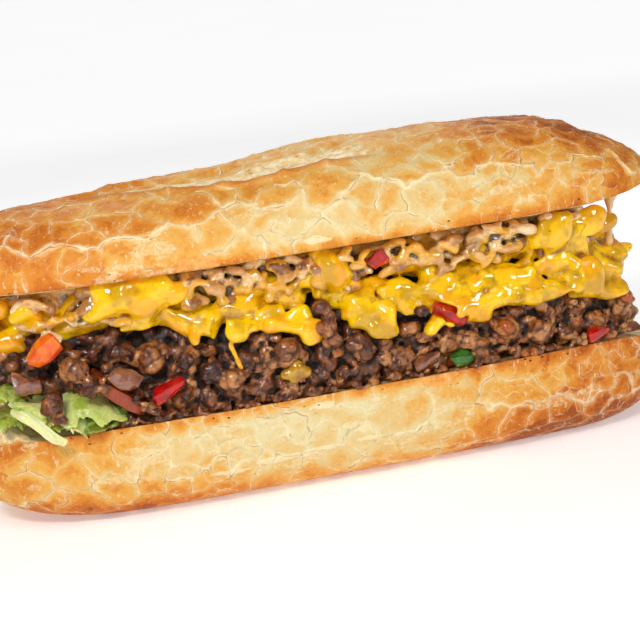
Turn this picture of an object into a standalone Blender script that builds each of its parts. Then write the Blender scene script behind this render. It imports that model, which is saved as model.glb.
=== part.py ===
"""Submarine sandwich: a long roll in two halves round a heap of chopped beef under melted cheese.

X runs along the roll, the side that shows the filling best faces -Y, and Z is up. The origin is on the
resting surface, under the middle of the roll. The constants are in millimetres and the meshes in metres.
"""

import math
import random

import bmesh
import bpy
from mathutils import Euler, Vector, noise

MM = 0.001
GAP = 0.4  # clear space between neighbouring pieces
SEED = 11

# The roll, which both halves share in plan
ROLL_HALF_LENGTH = 121.0
ROLL_HALF_WIDTH = 38.0
PLAN_POWER = 3.2
RIM_TUCK = 0.045  # how far the crust draws in at the cut, as a share of the half width
CRUST_RELIEF = 0.55
RELIEF_SIZE = 17.0
TIP_BEND = 8  # a higher power keeps the rims straight closer to the tips

# Lower half
LOWER_RIM = 33.4
CUT_FACE = LOWER_RIM - 1.0
TIP_HEIGHT = 21.0
FLAT_FROM, FLAT_TO = -60.0, 82.0
BOTTOM_POWER = 0.62
FLATTEN = 1.05
BASE_BEND = 2.6
CRUMB_TUFT_X = -107.0
CRUMB_TUFT_HEIGHT = 4.6
CRUMB_TUFT_SPREAD = 6.5

# Upper half
UPPER_TIPS = (-121.0, 119.0)
UPPER_RIM = LOWER_RIM + 47.0
UPPER_TILT = math.radians(4)
UPPER_TIP_RISE = 7.0
UNDERSIDE_RISE = 0.8
CROWN = (
    (-121, 25), (-75, 24.6), (-35, 26.6), (10, 31), (50, 31), (80, 29.6), (90, 27.3), (101, 22.8), (119, 19),
)
CROWN_POWER = 0.9
CROWN_END_BEND = 9
SLASH_START, SLASH_END = -90.0, 30.0
SLASH_EAR_LIFT = 1.9
SLASH_DEPTH = 3.4

# Filling, whose heights are above the lower half's rim
FILL_HALF_LENGTH = 113.0
FILL_HALF_WIDTH = 33.5
FILL_POWER = 0.68
FILL_PLAN_POWER = 3.0
FILL_END_POWER = 5.0
FILL_END_SHARE = 0.45  # how much of the height the heap's ends lose
FILL_FLOOR = CUT_FACE + 0.6
FILL_TOP = ((-113, 31), (-96, 36), (78, 36), (98, 30), (113, 26))
CRUMB_REACH = 3.3  # how far the crumbs stand out of the heap's outline
CRUMB_ROW_HEIGHT = 9.0
LARGEST_CRUMB = 6.8
CORE_INSET = 2.6  # how far the core lies inside it, below the cheese
FINE_CRUMB_RADIUS = 5.3  # larger crumbs get more faces
SALAD_LIFT = 11.5  # the beef stands on salad at the left end
SALAD_LIFT_FROM, SALAD_LIFT_TO = -54.0, -77.0
CHEESE_THICKNESS = 3.6
CHEESE_CLEARANCE = 0.9
CHEESE_LUMPS = 1.2
CHEESE_FRONT_EDGE = (
    (-113, 26), (-85, 29), (-58, 28.5), (-46, 26), (-37, 20), (-22, 20), (-5, 18.5), (13, 19),
    (20, 12), (26, 18), (44, 15), (58, 15.5), (71, 18), (79, 16.5), (87, 12), (98, 11), (113, 12),
)
CHEESE_BACK_EDGE = (
    (-113, 25), (-84, 23), (-62, 25), (-40, 16), (-18, 21), (4, 15), (26, 22), (52, 15), (74, 20),
    (92, 14), (113, 15),
)
SAUCE_THICKNESS = 1.2
SAUCE_ENDS = (-109.0, 107.0)
SAUCE_HALF_WIDTH = 31.0
STRAND_X, STRAND_Y, STRAND_RADIUS = 101.0, -16.5, 1.3
ONION_LAYER_ENDS = (-97.0, 91.0)
ONION_LAYER_HALF_WIDTH = 27.5


def ease(value, start, end):
    """0 before start and 1 after end, smooth between them; start may be the larger."""
    share = min(1.0, max(0.0, (value - start) / (end - start)))
    return share * share * (3 - 2 * share)


def through(points, x):
    """The height at x of a smooth line through (x, height) points."""
    for (x0, z0), (x1, z1) in zip(points, points[1:]):
        if x <= x1:
            return z0 + (z1 - z0) * ease(x, x0, x1)
    return points[-1][1]


def oval(share, power):
    """The half breadth of a superellipse at a share of its half length."""
    return max(0.0, 1 - abs(share) ** power) ** (1 / power)


def signed_power(value, power):
    return math.copysign(abs(value) ** power, value)


def uneven(x, y, z, size, seed=0.0):
    return noise.noise(Vector((x / size + seed, y / size, z / size)))


def stations(half_length, count):
    """Places along X between the two tips, closer together towards them."""
    return [half_length * math.sin(math.pi * (i / count - 0.5)) for i in range(1, count)]


def even_places(start, end, count):
    return [start + (end - start) * i / (count - 1) for i in range(count)]


def half_width(x):
    return ROLL_HALF_WIDTH * oval(x / ROLL_HALF_LENGTH, PLAN_POWER)


def between(ends, x):
    """x as a share of the way from the middle of two ends (0) to either of them (-1 or 1)."""
    return min(1.0, max(-1.0, (2 * x - ends[0] - ends[1]) / (ends[1] - ends[0])))


def upper_half_width(x):
    return ROLL_HALF_WIDTH * oval(between(UPPER_TIPS, x), PLAN_POWER)


def upper_tip_rise(x):
    """How far the upper half's rim curves up towards its tips."""
    return UPPER_TIP_RISE * (1 - math.sqrt(1 - abs(between(UPPER_TIPS, x)) ** TIP_BEND))


def lower_rim(x):
    return LOWER_RIM - (LOWER_RIM - TIP_HEIGHT) * (1 - math.sqrt(1 - abs(x / ROLL_HALF_LENGTH) ** TIP_BEND))


def lower_base(x):
    edge = FLAT_FROM if x < 0 else FLAT_TO
    beyond = max(0.0, abs(x) - abs(edge)) / (ROLL_HALF_LENGTH - abs(edge))
    return TIP_HEIGHT * (1 - math.sqrt(1 - min(1.0, beyond) ** BASE_BEND))


def underside(x, y):
    """Height of the upper half's cut face, which tilts down to the back."""
    lip = UNDERSIDE_RISE * upper_half_width(x) / ROLL_HALF_WIDTH
    return UPPER_RIM + lip + upper_tip_rise(x) - (y + ROLL_HALF_WIDTH) * math.sin(UPPER_TILT)


def fill_half_width(x):
    return FILL_HALF_WIDTH * oval(x / FILL_HALF_LENGTH, FILL_PLAN_POWER)


def fill_floor(x):
    return FILL_FLOOR + SALAD_LIFT * ease(x, SALAD_LIFT_FROM, SALAD_LIFT_TO)


def fill_point(x, turn, grow=0.0):
    """A point on the beef's outline at x; turn runs from the front face over the top to the back."""
    width = fill_half_width(x) + grow
    height = LOWER_RIM + through(FILL_TOP, x) - FILL_FLOOR
    height = height * (1 - FILL_END_SHARE * (1 - oval(x / FILL_HALF_LENGTH, FILL_END_POWER))) + grow
    y = -width * signed_power(math.cos(turn), FILL_POWER)
    return Vector((x, y, FILL_FLOOR + height * max(0.0, math.sin(turn)) ** FILL_POWER))


def turn_at_height(x, height):
    """The turn at which the beef's outline is at a height above the rim."""
    top = fill_point(x, math.pi / 2).z
    share = min(0.97, max(0.02, (LOWER_RIM + height - FILL_FLOOR) / (top - FILL_FLOOR)))
    return math.asin(share ** (1 / FILL_POWER))


def new_material(name, colour, roughness):
    material = bpy.data.materials.new(name)
    material.use_nodes = True
    shader = material.node_tree.nodes["Principled BSDF"]
    shader.inputs["Base Color"].default_value = (*colour, 1)
    shader.inputs["Roughness"].default_value = roughness
    return material


def new_object(name, mesh, material=None):
    made = bpy.data.objects.new(name, mesh)
    bpy.context.scene.collection.objects.link(made)
    if material:
        made.data.materials.clear()
        made.data.materials.append(material)
    return made


def mesh_of(name, bm):
    bmesh.ops.triangulate(bm, faces=bm.faces[:])
    bmesh.ops.recalc_face_normals(bm, faces=bm.faces[:])
    mesh = bpy.data.meshes.new(name)
    bm.to_mesh(mesh)
    bm.free()
    return mesh


def skin_rings(name, rings, tips=None):
    """A closed mesh over rings of equal count, drawn to a tip at each end or capped by its last ring."""
    bm = bmesh.new()
    rows = [[bm.verts.new(Vector(point) * MM) for point in ring] for ring in rings]
    for before, after in zip(rows, rows[1:]):
        for i in range(len(before)):
            following = (i + 1) % len(before)
            bm.faces.new((before[i], before[following], after[following], after[i]))
    for row, end in ((rows[0], 0), (rows[-1], 1)):
        if tips:
            tip = bm.verts.new(Vector(tips[end]) * MM)
        else:
            tip = bm.verts.new(sum((vert.co for vert in row), Vector()) / len(row))
        for i in range(len(row)):
            bm.faces.new((row[i], row[(i + 1) % len(row)], tip))
    return mesh_of(name, bm)


def lower_ring(x, crust_steps=17):
    """The lower half's outline at x: the crust from the front rim under to the back, then the cut face."""
    width, rim, base = half_width(x), lower_rim(x), lower_base(x)
    ring = []
    for i in range(crust_steps + 1):
        turn = math.pi * i / crust_steps
        out = signed_power(math.cos(turn), BOTTOM_POWER) * (1 - RIM_TUCK * (1 - math.sin(turn)) ** 3)
        down = min(1.0, FLATTEN * max(0.0, math.sin(turn)) ** BOTTOM_POWER)
        point = Vector((x, -width * out, rim - (rim - base) * down))
        if down < 1:
            swell = CRUST_RELIEF * uneven(*point, RELIEF_SIZE)
            point.y += math.copysign(swell, point.y) * (1 - down)
        ring.append(point)
    lip = (LOWER_RIM - CUT_FACE) * min(1.0, width / ROLL_HALF_WIDTH)
    for share in (0.88, 0.5, 0.0, -0.5, -0.88):
        spread = math.exp(-(((x - CRUMB_TUFT_X) / CRUMB_TUFT_SPREAD) ** 2))
        height = rim - lip + CRUMB_TUFT_HEIGHT * spread * (1 - abs(share) ** 6)
        ring.append(Vector((x, width * share * (1 - RIM_TUCK), height)))
    return ring


def make_lower_half(material):
    rings = [lower_ring(x) for x in stations(ROLL_HALF_LENGTH, 38)]
    tips = [(end * ROLL_HALF_LENGTH, 0, TIP_HEIGHT) for end in (-1, 1)]
    return new_object("roll_lower", skin_rings("roll_lower", rings, tips), material)


def ear_line(x):
    """The front edge of the baker's slash, which leaves the crown and runs down the front."""
    return -7.0 - 15.5 * ease(x, SLASH_START, -12.0)


def slash_back(x):
    return 5.0 - 6.0 * ease(x, -20.0, SLASH_END)


def slash_share(x):
    """1 along the slash and 0 beyond its ends."""
    return ease(x, SLASH_START, SLASH_START + 22) * ease(x, SLASH_END, SLASH_END - 20)


def upper_height(x):
    return through(CROWN, x) * math.sqrt(1 - abs(between(UPPER_TIPS, x)) ** CROWN_END_BEND)


def upper_point(x, turn, lift=0.0):
    """A point on the upper crust at x in the tilted half's own frame, whose origin is its front rim."""
    width, height = upper_half_width(x), upper_height(x)
    tuck = 1 - RIM_TUCK * (1 - max(0.0, math.sin(turn))) ** 3
    out = signed_power(math.cos(turn), CROWN_POWER)
    up = max(0.0, math.sin(turn)) ** CROWN_POWER
    swell = lift + CRUST_RELIEF * uneven(x, width * out, height * up, RELIEF_SIZE, 3.0) * up
    y = ROLL_HALF_WIDTH - (width + swell) * out * tuck
    return Vector((x, y, upper_tip_rise(x) + (height + swell) * up))


def upper_turns(x):
    """(turn, lift) of each crust point, with the slash's ear, groove and back edge among them."""
    width, open_share = upper_half_width(x), slash_share(x)
    ear = math.acos(max(-0.98, min(0.98, -ear_line(x) / width)))
    back = math.acos(max(-0.98, min(0.98, -slash_back(x) / width)))
    back = max(back, ear + 0.3)
    turns = [(ear * i / 7, 0.0) for i in range(7)]
    turns += [(ear, SLASH_EAR_LIFT * open_share), (ear + 0.05, -SLASH_DEPTH * open_share)]
    turns += [((ear + back) / 2, -0.65 * SLASH_DEPTH * open_share), (back, 0.5 * open_share)]
    turns += [(back + (math.pi - back) * i / 7, 0.0) for i in range(1, 8)]
    return turns


def make_upper_half(material):
    rings = []
    middle, reach = sum(UPPER_TIPS) / 2, (UPPER_TIPS[1] - UPPER_TIPS[0]) / 2
    for x in [middle + along for along in stations(reach, 42)]:
        ring = [upper_point(x, turn, lift) for turn, lift in upper_turns(x)]
        lip = UNDERSIDE_RISE * upper_half_width(x) / ROLL_HALF_WIDTH
        rim_height = ring[0].z
        for share in (0.88, 0.4, -0.4, -0.88):
            y = upper_half_width(x) * share * (1 - RIM_TUCK) + ROLL_HALF_WIDTH
            ring.append(Vector((x, y, rim_height + lip)))
        rings.append(ring)
    tips = [(x, ROLL_HALF_WIDTH, UPPER_TIP_RISE) for x in UPPER_TIPS]
    made = new_object("roll_upper", skin_rings("roll_upper", rings, tips), material)
    made.location = Vector((0, -ROLL_HALF_WIDTH, UPPER_RIM)) * MM
    made.rotation_euler = (-UPPER_TILT, 0, 0)
    return made


def combine(target, collection, operation):
    """Joins a collection to target, or cuts it out, by one Boolean that is applied."""
    modifier = target.modifiers.new(operation.lower(), "BOOLEAN")
    modifier.operation = operation
    modifier.operand_type = "COLLECTION"
    modifier.collection = collection
    modifier.solver = "MANIFOLD"
    graph = bpy.context.evaluated_depsgraph_get()
    made = bpy.data.meshes.new_from_object(target.evaluated_get(graph))
    target.modifiers.clear()
    target.data = made
    keep_main_body(target)


def keep_main_body(target):
    """Drops loose scraps and the walls of sealed hollows, which are islands apart from the largest one."""
    bm = bmesh.new()
    bm.from_mesh(target.data)
    left, islands = set(bm.verts), []
    while left:
        front = [left.pop()]
        island = set(front)
        while front:
            for edge in front.pop().link_edges:
                for vert in edge.verts:
                    if vert in left:
                        left.discard(vert)
                        island.add(vert)
                        front.append(vert)
        islands.append(island)
    largest = max(islands, key=lambda island: max(v.co.x for v in island) - min(v.co.x for v in island))
    scraps = [vert for island in islands if island is not largest for vert in island]
    bmesh.ops.delete(bm, geom=scraps, context="VERTS")
    bm.to_mesh(target.data)
    bm.free()


def helpers(name):
    collection = bpy.data.collections.new(name)
    bpy.context.scene.collection.children.link(collection)
    return collection


def move_to(collection, obj):
    bpy.context.scene.collection.objects.unlink(obj)
    collection.objects.link(obj)
    return obj


def discard(collection):
    for obj in list(collection.objects):
        bpy.data.objects.remove(obj)
    bpy.data.collections.remove(collection)


def nugget_mesh(name, centre, radius, draws):
    """One lumpy crumb of browned beef, kept above the lower half's rim."""
    bm = bmesh.new()
    bmesh.ops.create_icosphere(bm, subdivisions=2 if radius > FINE_CRUMB_RADIUS else 1, radius=1.0)
    seed, squash = draws.uniform(0, 100), draws.uniform(0.75, 0.95)
    turned = Euler((0, draws.uniform(-0.5, 0.5), draws.uniform(0, 6.28))).to_matrix()
    floor = LOWER_RIM + GAP
    for vert in bm.verts:
        lump = 1 + 0.25 * noise.noise(vert.co * 1.6 + Vector((seed, 0, 0)))
        place = centre + turned @ Vector((vert.co.x, vert.co.y, vert.co.z * squash)) * radius * lump
        place.z = max(place.z, floor + 0.05 * (place.z - floor) + 0.3)
        vert.co = place * MM
    return mesh_of(name, bm)


def beef_core_ring(x, steps=13):
    """The core's outline at x, drawn in where crumbs show and raised over the salad."""
    ring = []
    for i in range(steps + 1):
        turn = math.pi * i / steps
        edge = through(CHEESE_FRONT_EDGE if turn < math.pi / 2 else CHEESE_BACK_EDGE, x)
        below = LOWER_RIM + edge - fill_point(x, turn).z
        point = fill_point(x, turn, -CORE_INSET * ease(below, 0.5, 5.0))
        base = fill_floor(x) + (0.5 if 0 < i < steps else 0.0)
        point.z = max(point.z, base)
        ring.append(point)
    return ring


def beef_places(draws):
    """(centre, radius) of each crumb that shows: rows along both sides, then both ends."""
    places = []
    for side, edge in ((-1, CHEESE_FRONT_EDGE), (1, CHEESE_BACK_EDGE)):
        x = 7 - FILL_HALF_LENGTH
        while x < FILL_HALF_LENGTH - 6:
            low = fill_floor(x) - LOWER_RIM + 1.0
            high = min(through(edge, x + dx) for dx in (-8, -4, 0, 4, 8)) - 2.2
            rows = max(1, round((high - low) / CRUMB_ROW_HEIGHT))
            for row in range(rows):
                radius = min(LARGEST_CRUMB, (high - low) / rows * 0.64) * draws.uniform(0.78, 1.0)
                height = low + (high - low) * (row + 0.5) / rows + draws.uniform(-1.0, 0.4)
                at = x + draws.uniform(-2.0, 2.0) + (3.5 if row % 2 else 0)
                turn = turn_at_height(at, height)
                grow = CRUMB_REACH - radius + draws.uniform(-1.2, 0.5)
                point = fill_point(at, turn if side < 0 else math.pi - turn, grow)
                point.z = LOWER_RIM + height
                places.append((point, radius))
            x += draws.uniform(8.0, 9.6)
    for end in (-1, 1):
        for share in (-0.62, -0.2, 0.24, 0.66):
            x = end * (FILL_HALF_LENGTH - 4.5 - 10 * abs(share) ** 2.5)
            z = fill_floor(x) + draws.uniform(3.6, 4.6)
            places.append((Vector((x, share * FILL_HALF_WIDTH * 0.72, z)), draws.uniform(4.4, 5.0)))
    return places


def make_beef(material, draws):
    rings = [beef_core_ring(x) for x in stations(FILL_HALF_LENGTH, 25)]
    core = new_object("chopped_beef", skin_rings("chopped_beef", rings), material)
    crumbs = helpers("crumbs")
    for number, (point, radius) in enumerate(beef_places(draws)):
        mesh = nugget_mesh(f"crumb_{number}", point, radius, draws)
        move_to(crumbs, new_object(mesh.name, mesh))
    combine(core, crumbs, "UNION")
    discard(crumbs)
    return core


def sheet_mesh(name, outer, inner):
    """A closed skin between two grids of points of the same size."""
    bm = bmesh.new()
    grids = [[[bm.verts.new(point * MM) for point in row] for row in grid] for grid in (outer, inner)]
    rows, columns = len(outer), len(outer[0])
    for grid in grids:
        for i in range(rows - 1):
            for j in range(columns - 1):
                corners = [grid[i][j], grid[i + 1][j], grid[i + 1][j + 1], grid[i][j + 1]]
                bm.faces.new(corners[:3])
                bm.faces.new([corners[0], corners[2], corners[3]])
    top, bottom = grids
    border = [(i, 0) for i in range(rows)]
    border += [(rows - 1, j) for j in range(1, columns)]
    border += [(i, columns - 1) for i in range(rows - 2, -1, -1)]
    border += [(0, j) for j in range(columns - 2, 0, -1)]
    for (i, j), (k, m) in zip(border, border[1:] + border[:1]):
        bm.faces.new((top[i][j], top[k][m], bottom[k][m], bottom[i][j]))
    return mesh_of(name, bm)


def cheese_point(x, turn, depth):
    """depth is 0 on the inner face and 1 on the outer one, which lies in lumps."""
    lump = CHEESE_LUMPS * uneven(x, 30 * turn, 0, 9.0, 5.0) * depth
    return fill_point(x, turn, CHEESE_CLEARANCE + CHEESE_THICKNESS * depth + lump)


def make_cheese(material):
    outer, inner = [], []
    for x in even_places(4 - FILL_HALF_LENGTH, FILL_HALF_LENGTH - 4, 42):
        front = turn_at_height(x, through(CHEESE_FRONT_EDGE, x))
        back = math.pi - turn_at_height(x, through(CHEESE_BACK_EDGE, x))
        turns = [front + (back - front) * ease(i / 8, -0.25, 1.25) for i in range(9)]
        turns[0], turns[-1] = front, back
        lip = 0.45  # the edges are rounded over, thinner than the middle
        outer.append([cheese_point(x, t, lip if t in (front, back) else 1.0) for t in turns])
        inner.append([cheese_point(x, t, 0.0) for t in turns])
    return new_object("melted_cheese", sheet_mesh("melted_cheese", outer, inner), material)


def make_sauce(material):
    """The sauce spread on the upper half's cut face, with the strand it has drawn out at the right end."""
    top, bottom = [], []
    for x in even_places(*SAUCE_ENDS, 20):
        width = SAUCE_HALF_WIDTH * oval(0.985 * between(SAUCE_ENDS, x), 4.0)
        ys = even_places(-width, width, 5)
        top.append([Vector((x, y, underside(x, y) - GAP)) for y in ys])
        bottom.append([Vector((x, y, underside(x, y) - GAP - SAUCE_THICKNESS)) for y in ys])
    layer = new_object("spread_sauce", sheet_mesh("spread_sauce", top, bottom), material)
    strands = helpers("strands")
    foot = max(cheese_top(STRAND_X + dx, STRAND_Y + dy) for dx in (-4, 4) for dy in (-4, 4)) + GAP
    head = underside(STRAND_X, STRAND_Y) - GAP - SAUCE_THICKNESS / 2
    rings = []
    for i in range(5):
        share = i / 4
        radius = STRAND_RADIUS * (1 + 1.6 * abs(2 * share - 1) ** 2)
        centre = Vector((STRAND_X + 1.5 * share, STRAND_Y, foot + (head - foot) * share))
        sides = [Vector((math.cos(a), math.sin(a), 0)) for a in even_places(0, 5.5, 8)]
        rings.append([centre + side * radius for side in sides])
    move_to(strands, new_object("strand", skin_rings("strand", rings)))
    bpy.context.view_layer.update()
    combine(layer, strands, "UNION")
    discard(strands)
    return layer


def cheese_top(x, y):
    """Height of the cheese's outer face over (x, y), clear of its lumps."""
    width = fill_half_width(x) + CHEESE_CLEARANCE + CHEESE_THICKNESS
    turn = math.acos(max(-1.0, min(1.0, signed_power(-y / width, 1 / FILL_POWER))))
    return fill_point(x, turn, CHEESE_CLEARANCE + CHEESE_THICKNESS).z + CHEESE_LUMPS


def make_onions(material, draws):
    """Fried onion and mushroom between cheese and sauce: a layer with the strips that show fused on."""
    top, bottom = [], []
    for x in even_places(*ONION_LAYER_ENDS, 18):
        narrowed = oval(0.96 * between(ONION_LAYER_ENDS, x), 4.0)
        ys = even_places(-ONION_LAYER_HALF_WIDTH * narrowed, ONION_LAYER_HALF_WIDTH * narrowed, 7)
        floor = [cheese_top(x, y) + 2 * GAP for y in ys]
        ceiling = [underside(x, y) - SAUCE_THICKNESS - 2 * GAP for y in ys]
        ceiling[0] = min(ceiling[0], floor[0] + 5.5)
        ceiling[-1] = min(ceiling[-1], floor[-1] + 5.0)
        ceiling = [max(c, f + 0.6) for c, f in zip(ceiling, floor)]
        top.append([Vector((x, y, z)) for y, z in zip(ys, ceiling)])
        bottom.append([Vector((x, y, z)) for y, z in zip(ys, floor)])
    layer = new_object("fried_onions", sheet_mesh("fried_onions", top, bottom), material)
    strips = helpers("strips")
    for side in (-1, 1):
        for number, x in enumerate(even_places(-93, 80, 14)):
            y = side * (ONION_LAYER_HALF_WIDTH + draws.uniform(-1.0, 0.6))
            length, tilt = draws.uniform(9, 12), draws.uniform(-0.35, 0.35)
            reach = length / 2 * math.sin(abs(tilt)) + 2.9
            lowest = max(cheese_top(x + dx, y) for dx in (-7, 0, 7)) + reach + GAP
            highest = underside(x, y) - SAUCE_THICKNESS - GAP - reach
            if lowest > highest:
                continue
            mesh = strip_mesh(f"strip_{side}_{number}", length, 5.0, 2.6, draws.uniform(0.3, 0.8))
            strip = move_to(strips, new_object(mesh.name, mesh))
            strip.location = Vector((x, y, draws.uniform(lowest, highest))) * MM
            strip.rotation_euler = (side * 0.7, tilt, draws.uniform(-0.3, 0.3))
    bpy.context.view_layer.update()
    combine(layer, strips, "UNION")
    discard(strips)
    return layer


def strip_mesh(name, length, width, thickness, bend, grow=0.0):
    """A cut strip of vegetable, bent along its length by an angle in radians."""
    steps = 3
    rings = []
    for i in range(steps + 1):
        share = i / steps - 0.5
        angle = bend * share
        across = width / 2 * (0.8 + 0.2 * math.cos(math.pi * share)) + grow
        thick = thickness / 2 + grow
        normal = Vector((math.sin(angle), 0, math.cos(angle)))
        centre = Vector(((length + 2 * grow) * share, 0, -bend * length * share * share / 2))
        corners = ((-across, -thick), (across, -thick), (across, thick), (-across, thick))
        rings.append([centre + Vector((0, a, 0)) + normal * t for a, t in corners])
    return skin_rings(name, rings)


# name, material, centre with its height above the rim, (length, width, thickness), bend, then the turn about
# X, Y and Z in degrees
TOPPINGS = (
    ("pepper_orange_front", "pepper_orange", (-91, -31.5, 28.5), (11, 7, 4.2), 0.5, (60, -38, 0)),
    ("pepper_red_front_left", "pepper_red", (-54.5, -34.0, 10.0), (11, 5, 3.4), 0.4, (70, -22, 0)),
    ("pepper_red_front_middle", "pepper_red", (38.5, -34.3, 19.0), (12, 4.6, 3.2), 0.5, (70, 30, 0)),
    ("pepper_red_front_top", "pepper_red", (17, -31.0, 40.0), (6, 4.5, 4.5), 0.2, (50, -30, 0)),
    ("pepper_red_front_right", "pepper_red", (89, -31.8, 3.2), (7, 4, 3), 0.3, (60, -10, 0)),
    ("pepper_green_front", "pepper_green", (41, -34.0, 3.4), (6.5, 5, 3), 0.4, (60, -8, 0)),
    ("pepper_red_back_left", "pepper_red", (-30, 33.5, 8.5), (12, 5, 3.2), 0.4, (-70, 20, 0)),
    ("pepper_orange_back", "pepper_orange", (47, 33.5, 9.5), (10, 6, 3.6), 0.4, (-65, -30, 0)),
    ("pepper_green_back", "pepper_green", (10, 34.0, 5.5), (8, 5, 3), 0.4, (-60, 12, 0)),
    ("onion_petal_front_left", "onion", (-67.6, -35.2, 16.0), (9, 7, 2.4), 0.6, (75, 40, 0)),
    ("onion_piece_front_left", "onion", (-97.5, -29.5, 18.0), (8, 6.5, 3.2), 0.4, (65, 5, 0)),
    ("onion_petal_front_middle", "onion", (29.5, -34.2, 4.6), (9, 3.6, 2.2), 0.4, (70, -22, 0)),
    ("onion_petal_back", "onion", (-62, 33.6, 15.5), (10, 6, 2.4), 0.5, (-70, 25, 0)),
)


def make_toppings(materials, cutters):
    """The pieces as large as a berry, each a node, and a larger copy of each to cut its bed."""
    for name, kind, centre, (length, width, thickness), bend, angles in TOPPINGS:
        for grow in (0.0, GAP):
            mesh = strip_mesh(name if not grow else f"{name}_bed", length, width, thickness, bend, grow)
            made = new_object(mesh.name, mesh, materials[kind])
            made.location = (Vector(centre) + Vector((0, 0, LOWER_RIM))) * MM
            made.rotation_euler = [math.radians(a) for a in angles]
            if grow:
                move_to(cutters, made)


def tomato_mesh(name, radius, thickness, grow=0.0):
    """A round slice with a softened edge."""
    rings = []
    for z, share in ((-1.0, 0.93), (-0.45, 1.0), (0.45, 1.0), (1.0, 0.93)):
        ring = []
        for angle in even_places(0, 2 * math.pi * 17 / 18, 18):
            wave = 1 + 0.03 * math.sin(3 * angle)
            reach = radius * share * wave + grow
            height = z * (thickness / 2 + grow)
            ring.append(Vector((reach * math.cos(angle), reach * math.sin(angle), height)))
        rings.append(ring)
    return skin_rings(name, rings)


TOMATOES = (
    ("tomato_slice_left", (-69.5, -24.3, 9.6), 11.0, 4.0, (0, 40, 0)),
    ("tomato_slice_middle", (31, -14.5, 1.6), 16.5, 3.2, (0, 0, 0)),
)


def make_tomatoes(material, cutters):
    for name, centre, radius, thickness, angles in TOMATOES:
        for grow in (0.0, GAP):
            mesh = tomato_mesh(name if not grow else f"{name}_bed", radius, thickness, grow)
            made = new_object(mesh.name, mesh, material)
            made.location = (Vector(centre) + Vector((0, 0, LOWER_RIM))) * MM
            made.rotation_euler = [math.radians(a) for a in angles]
            if grow:
                move_to(cutters, made)


# name, span along X, the fold from the upper flap round to the lower one as (y, height), wave, phase
FRONT_FLAP = ((8, 9.4), (-16, 9.2), (-29, 8.9), (-34, 8.2), (-37.0, 5.6))
FRONT_FOLD = ((6, 9.4), (-20, 9.0), (-33.5, 8.4), (-36.0, 5.2), (-33.0, 2.2), (-22, 1.7))
BACK_FOLD = ((12, 9.2), (24, 9.0), (33.0, 8.0), (35.0, 5.0), (31.0, 2.1), (20, 1.7))
LEAVES = (
    ("lettuce_leaf_left", (-110.0, -97.0), FRONT_FLAP, 0.7, 0.0),
    ("lettuce_leaf_middle", (-94.0, -80.5), FRONT_FOLD, 0.9, 1.4),
    ("lettuce_leaf_back", (-99.0, -80.5), BACK_FOLD, 0.9, 0.5),
)
LEAF_THICKNESS = 0.8


def spline(points, share):
    """A point of the smooth curve through the points, at a share of the way along."""
    at = share * (len(points) - 1)
    i = min(int(at), len(points) - 2)
    before, after = points[max(i - 1, 0)], points[min(i + 2, len(points) - 1)]
    t = at - i
    return [
        0.5 * (2 * b + (c - a) * t + (2 * a - 5 * b + 4 * c - d) * t**2 + (3 * b - 3 * c + d - a) * t**3)
        for a, b, c, d in zip(before, points[i], points[i + 1], after)
    ]


def leaf_point(x_span, fold, wave, phase, u, v):
    y, height = spline(fold, v)
    x = x_span[0] + (x_span[1] - x_span[0]) * u + 1.0 * math.sin(4 * v + phase)
    ripple = wave * math.sin(9 * u + phase) * math.sin(math.pi * min(1.0, 0.25 + v))
    y *= (half_width(x) - 0.3 * ripple) / ROLL_HALF_WIDTH
    return Vector((x, y, LOWER_RIM + height + 0.5 * ripple))


def make_leaves(material):
    rows, columns = 8, 10
    for name, x_span, fold, wave, phase in LEAVES:
        upper, lower = [], []
        for i in range(rows):
            u = i / (rows - 1)
            line = [leaf_point(x_span, fold, wave, phase, u, j / (columns - 1)) for j in range(columns)]
            halves = []
            for j, point in enumerate(line):
                along = line[min(j + 1, columns - 1)] - line[max(j - 1, 0)]
                halves.append(Vector((0, -along.z, along.y)).normalized() * LEAF_THICKNESS / 2)
            upper.append([point + half for point, half in zip(line, halves)])
            lower.append([point - half for point, half in zip(line, halves)])
        new_object(name, sheet_mesh(name, upper, lower), material)


def main():
    for obj in list(bpy.data.objects):
        bpy.data.objects.remove(obj)
    draws = random.Random(SEED)
    materials = {
        "crust": new_material("crust", (0.74, 0.42, 0.14), 0.45),
        "beef": new_material("beef", (0.20, 0.09, 0.04), 0.4),
        "cheese": new_material("cheese", (0.85, 0.50, 0.02), 0.2),
        "sauce": new_material("sauce", (0.75, 0.38, 0.16), 0.25),
        "onion": new_material("onion", (0.42, 0.26, 0.10), 0.2),
        "tomato": new_material("tomato", (0.45, 0.10, 0.04), 0.3),
        "lettuce": new_material("lettuce", (0.52, 0.62, 0.20), 0.35),
        "pepper_red": new_material("pepper_red", (0.62, 0.02, 0.01), 0.15),
        "pepper_orange": new_material("pepper_orange", (0.80, 0.16, 0.01), 0.15),
        "pepper_green": new_material("pepper_green", (0.05, 0.22, 0.03), 0.15),
    }
    make_lower_half(materials["crust"])
    make_upper_half(materials["crust"])
    cutters = helpers("cutters")
    make_toppings(materials, cutters)
    make_tomatoes(materials["tomato"], cutters)
    make_leaves(materials["lettuce"])
    hosts = [
        make_beef(materials["beef"], draws),
        make_cheese(materials["cheese"]),
        make_onions(materials["onion"], draws),
    ]
    make_sauce(materials["sauce"])
    bpy.context.view_layer.update()
    for host in hosts:
        combine(host, cutters, "DIFFERENCE")
    discard(cutters)


main()
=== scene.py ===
"""Submarine sandwich: the looks of the roll, its beef, cheese, onions, salad and peppers.

Everything is in the frame's own coordinates: X along the roll, the open side towards -Y and Z up.
The constants and the arrays are in millimetres, and new_mesh turns them into metres.
"""

import math
import random

import bpy
import numpy as np
import openvdb
from mathutils import Euler, Matrix, Vector
from mathutils import noise as blender_noise

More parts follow.
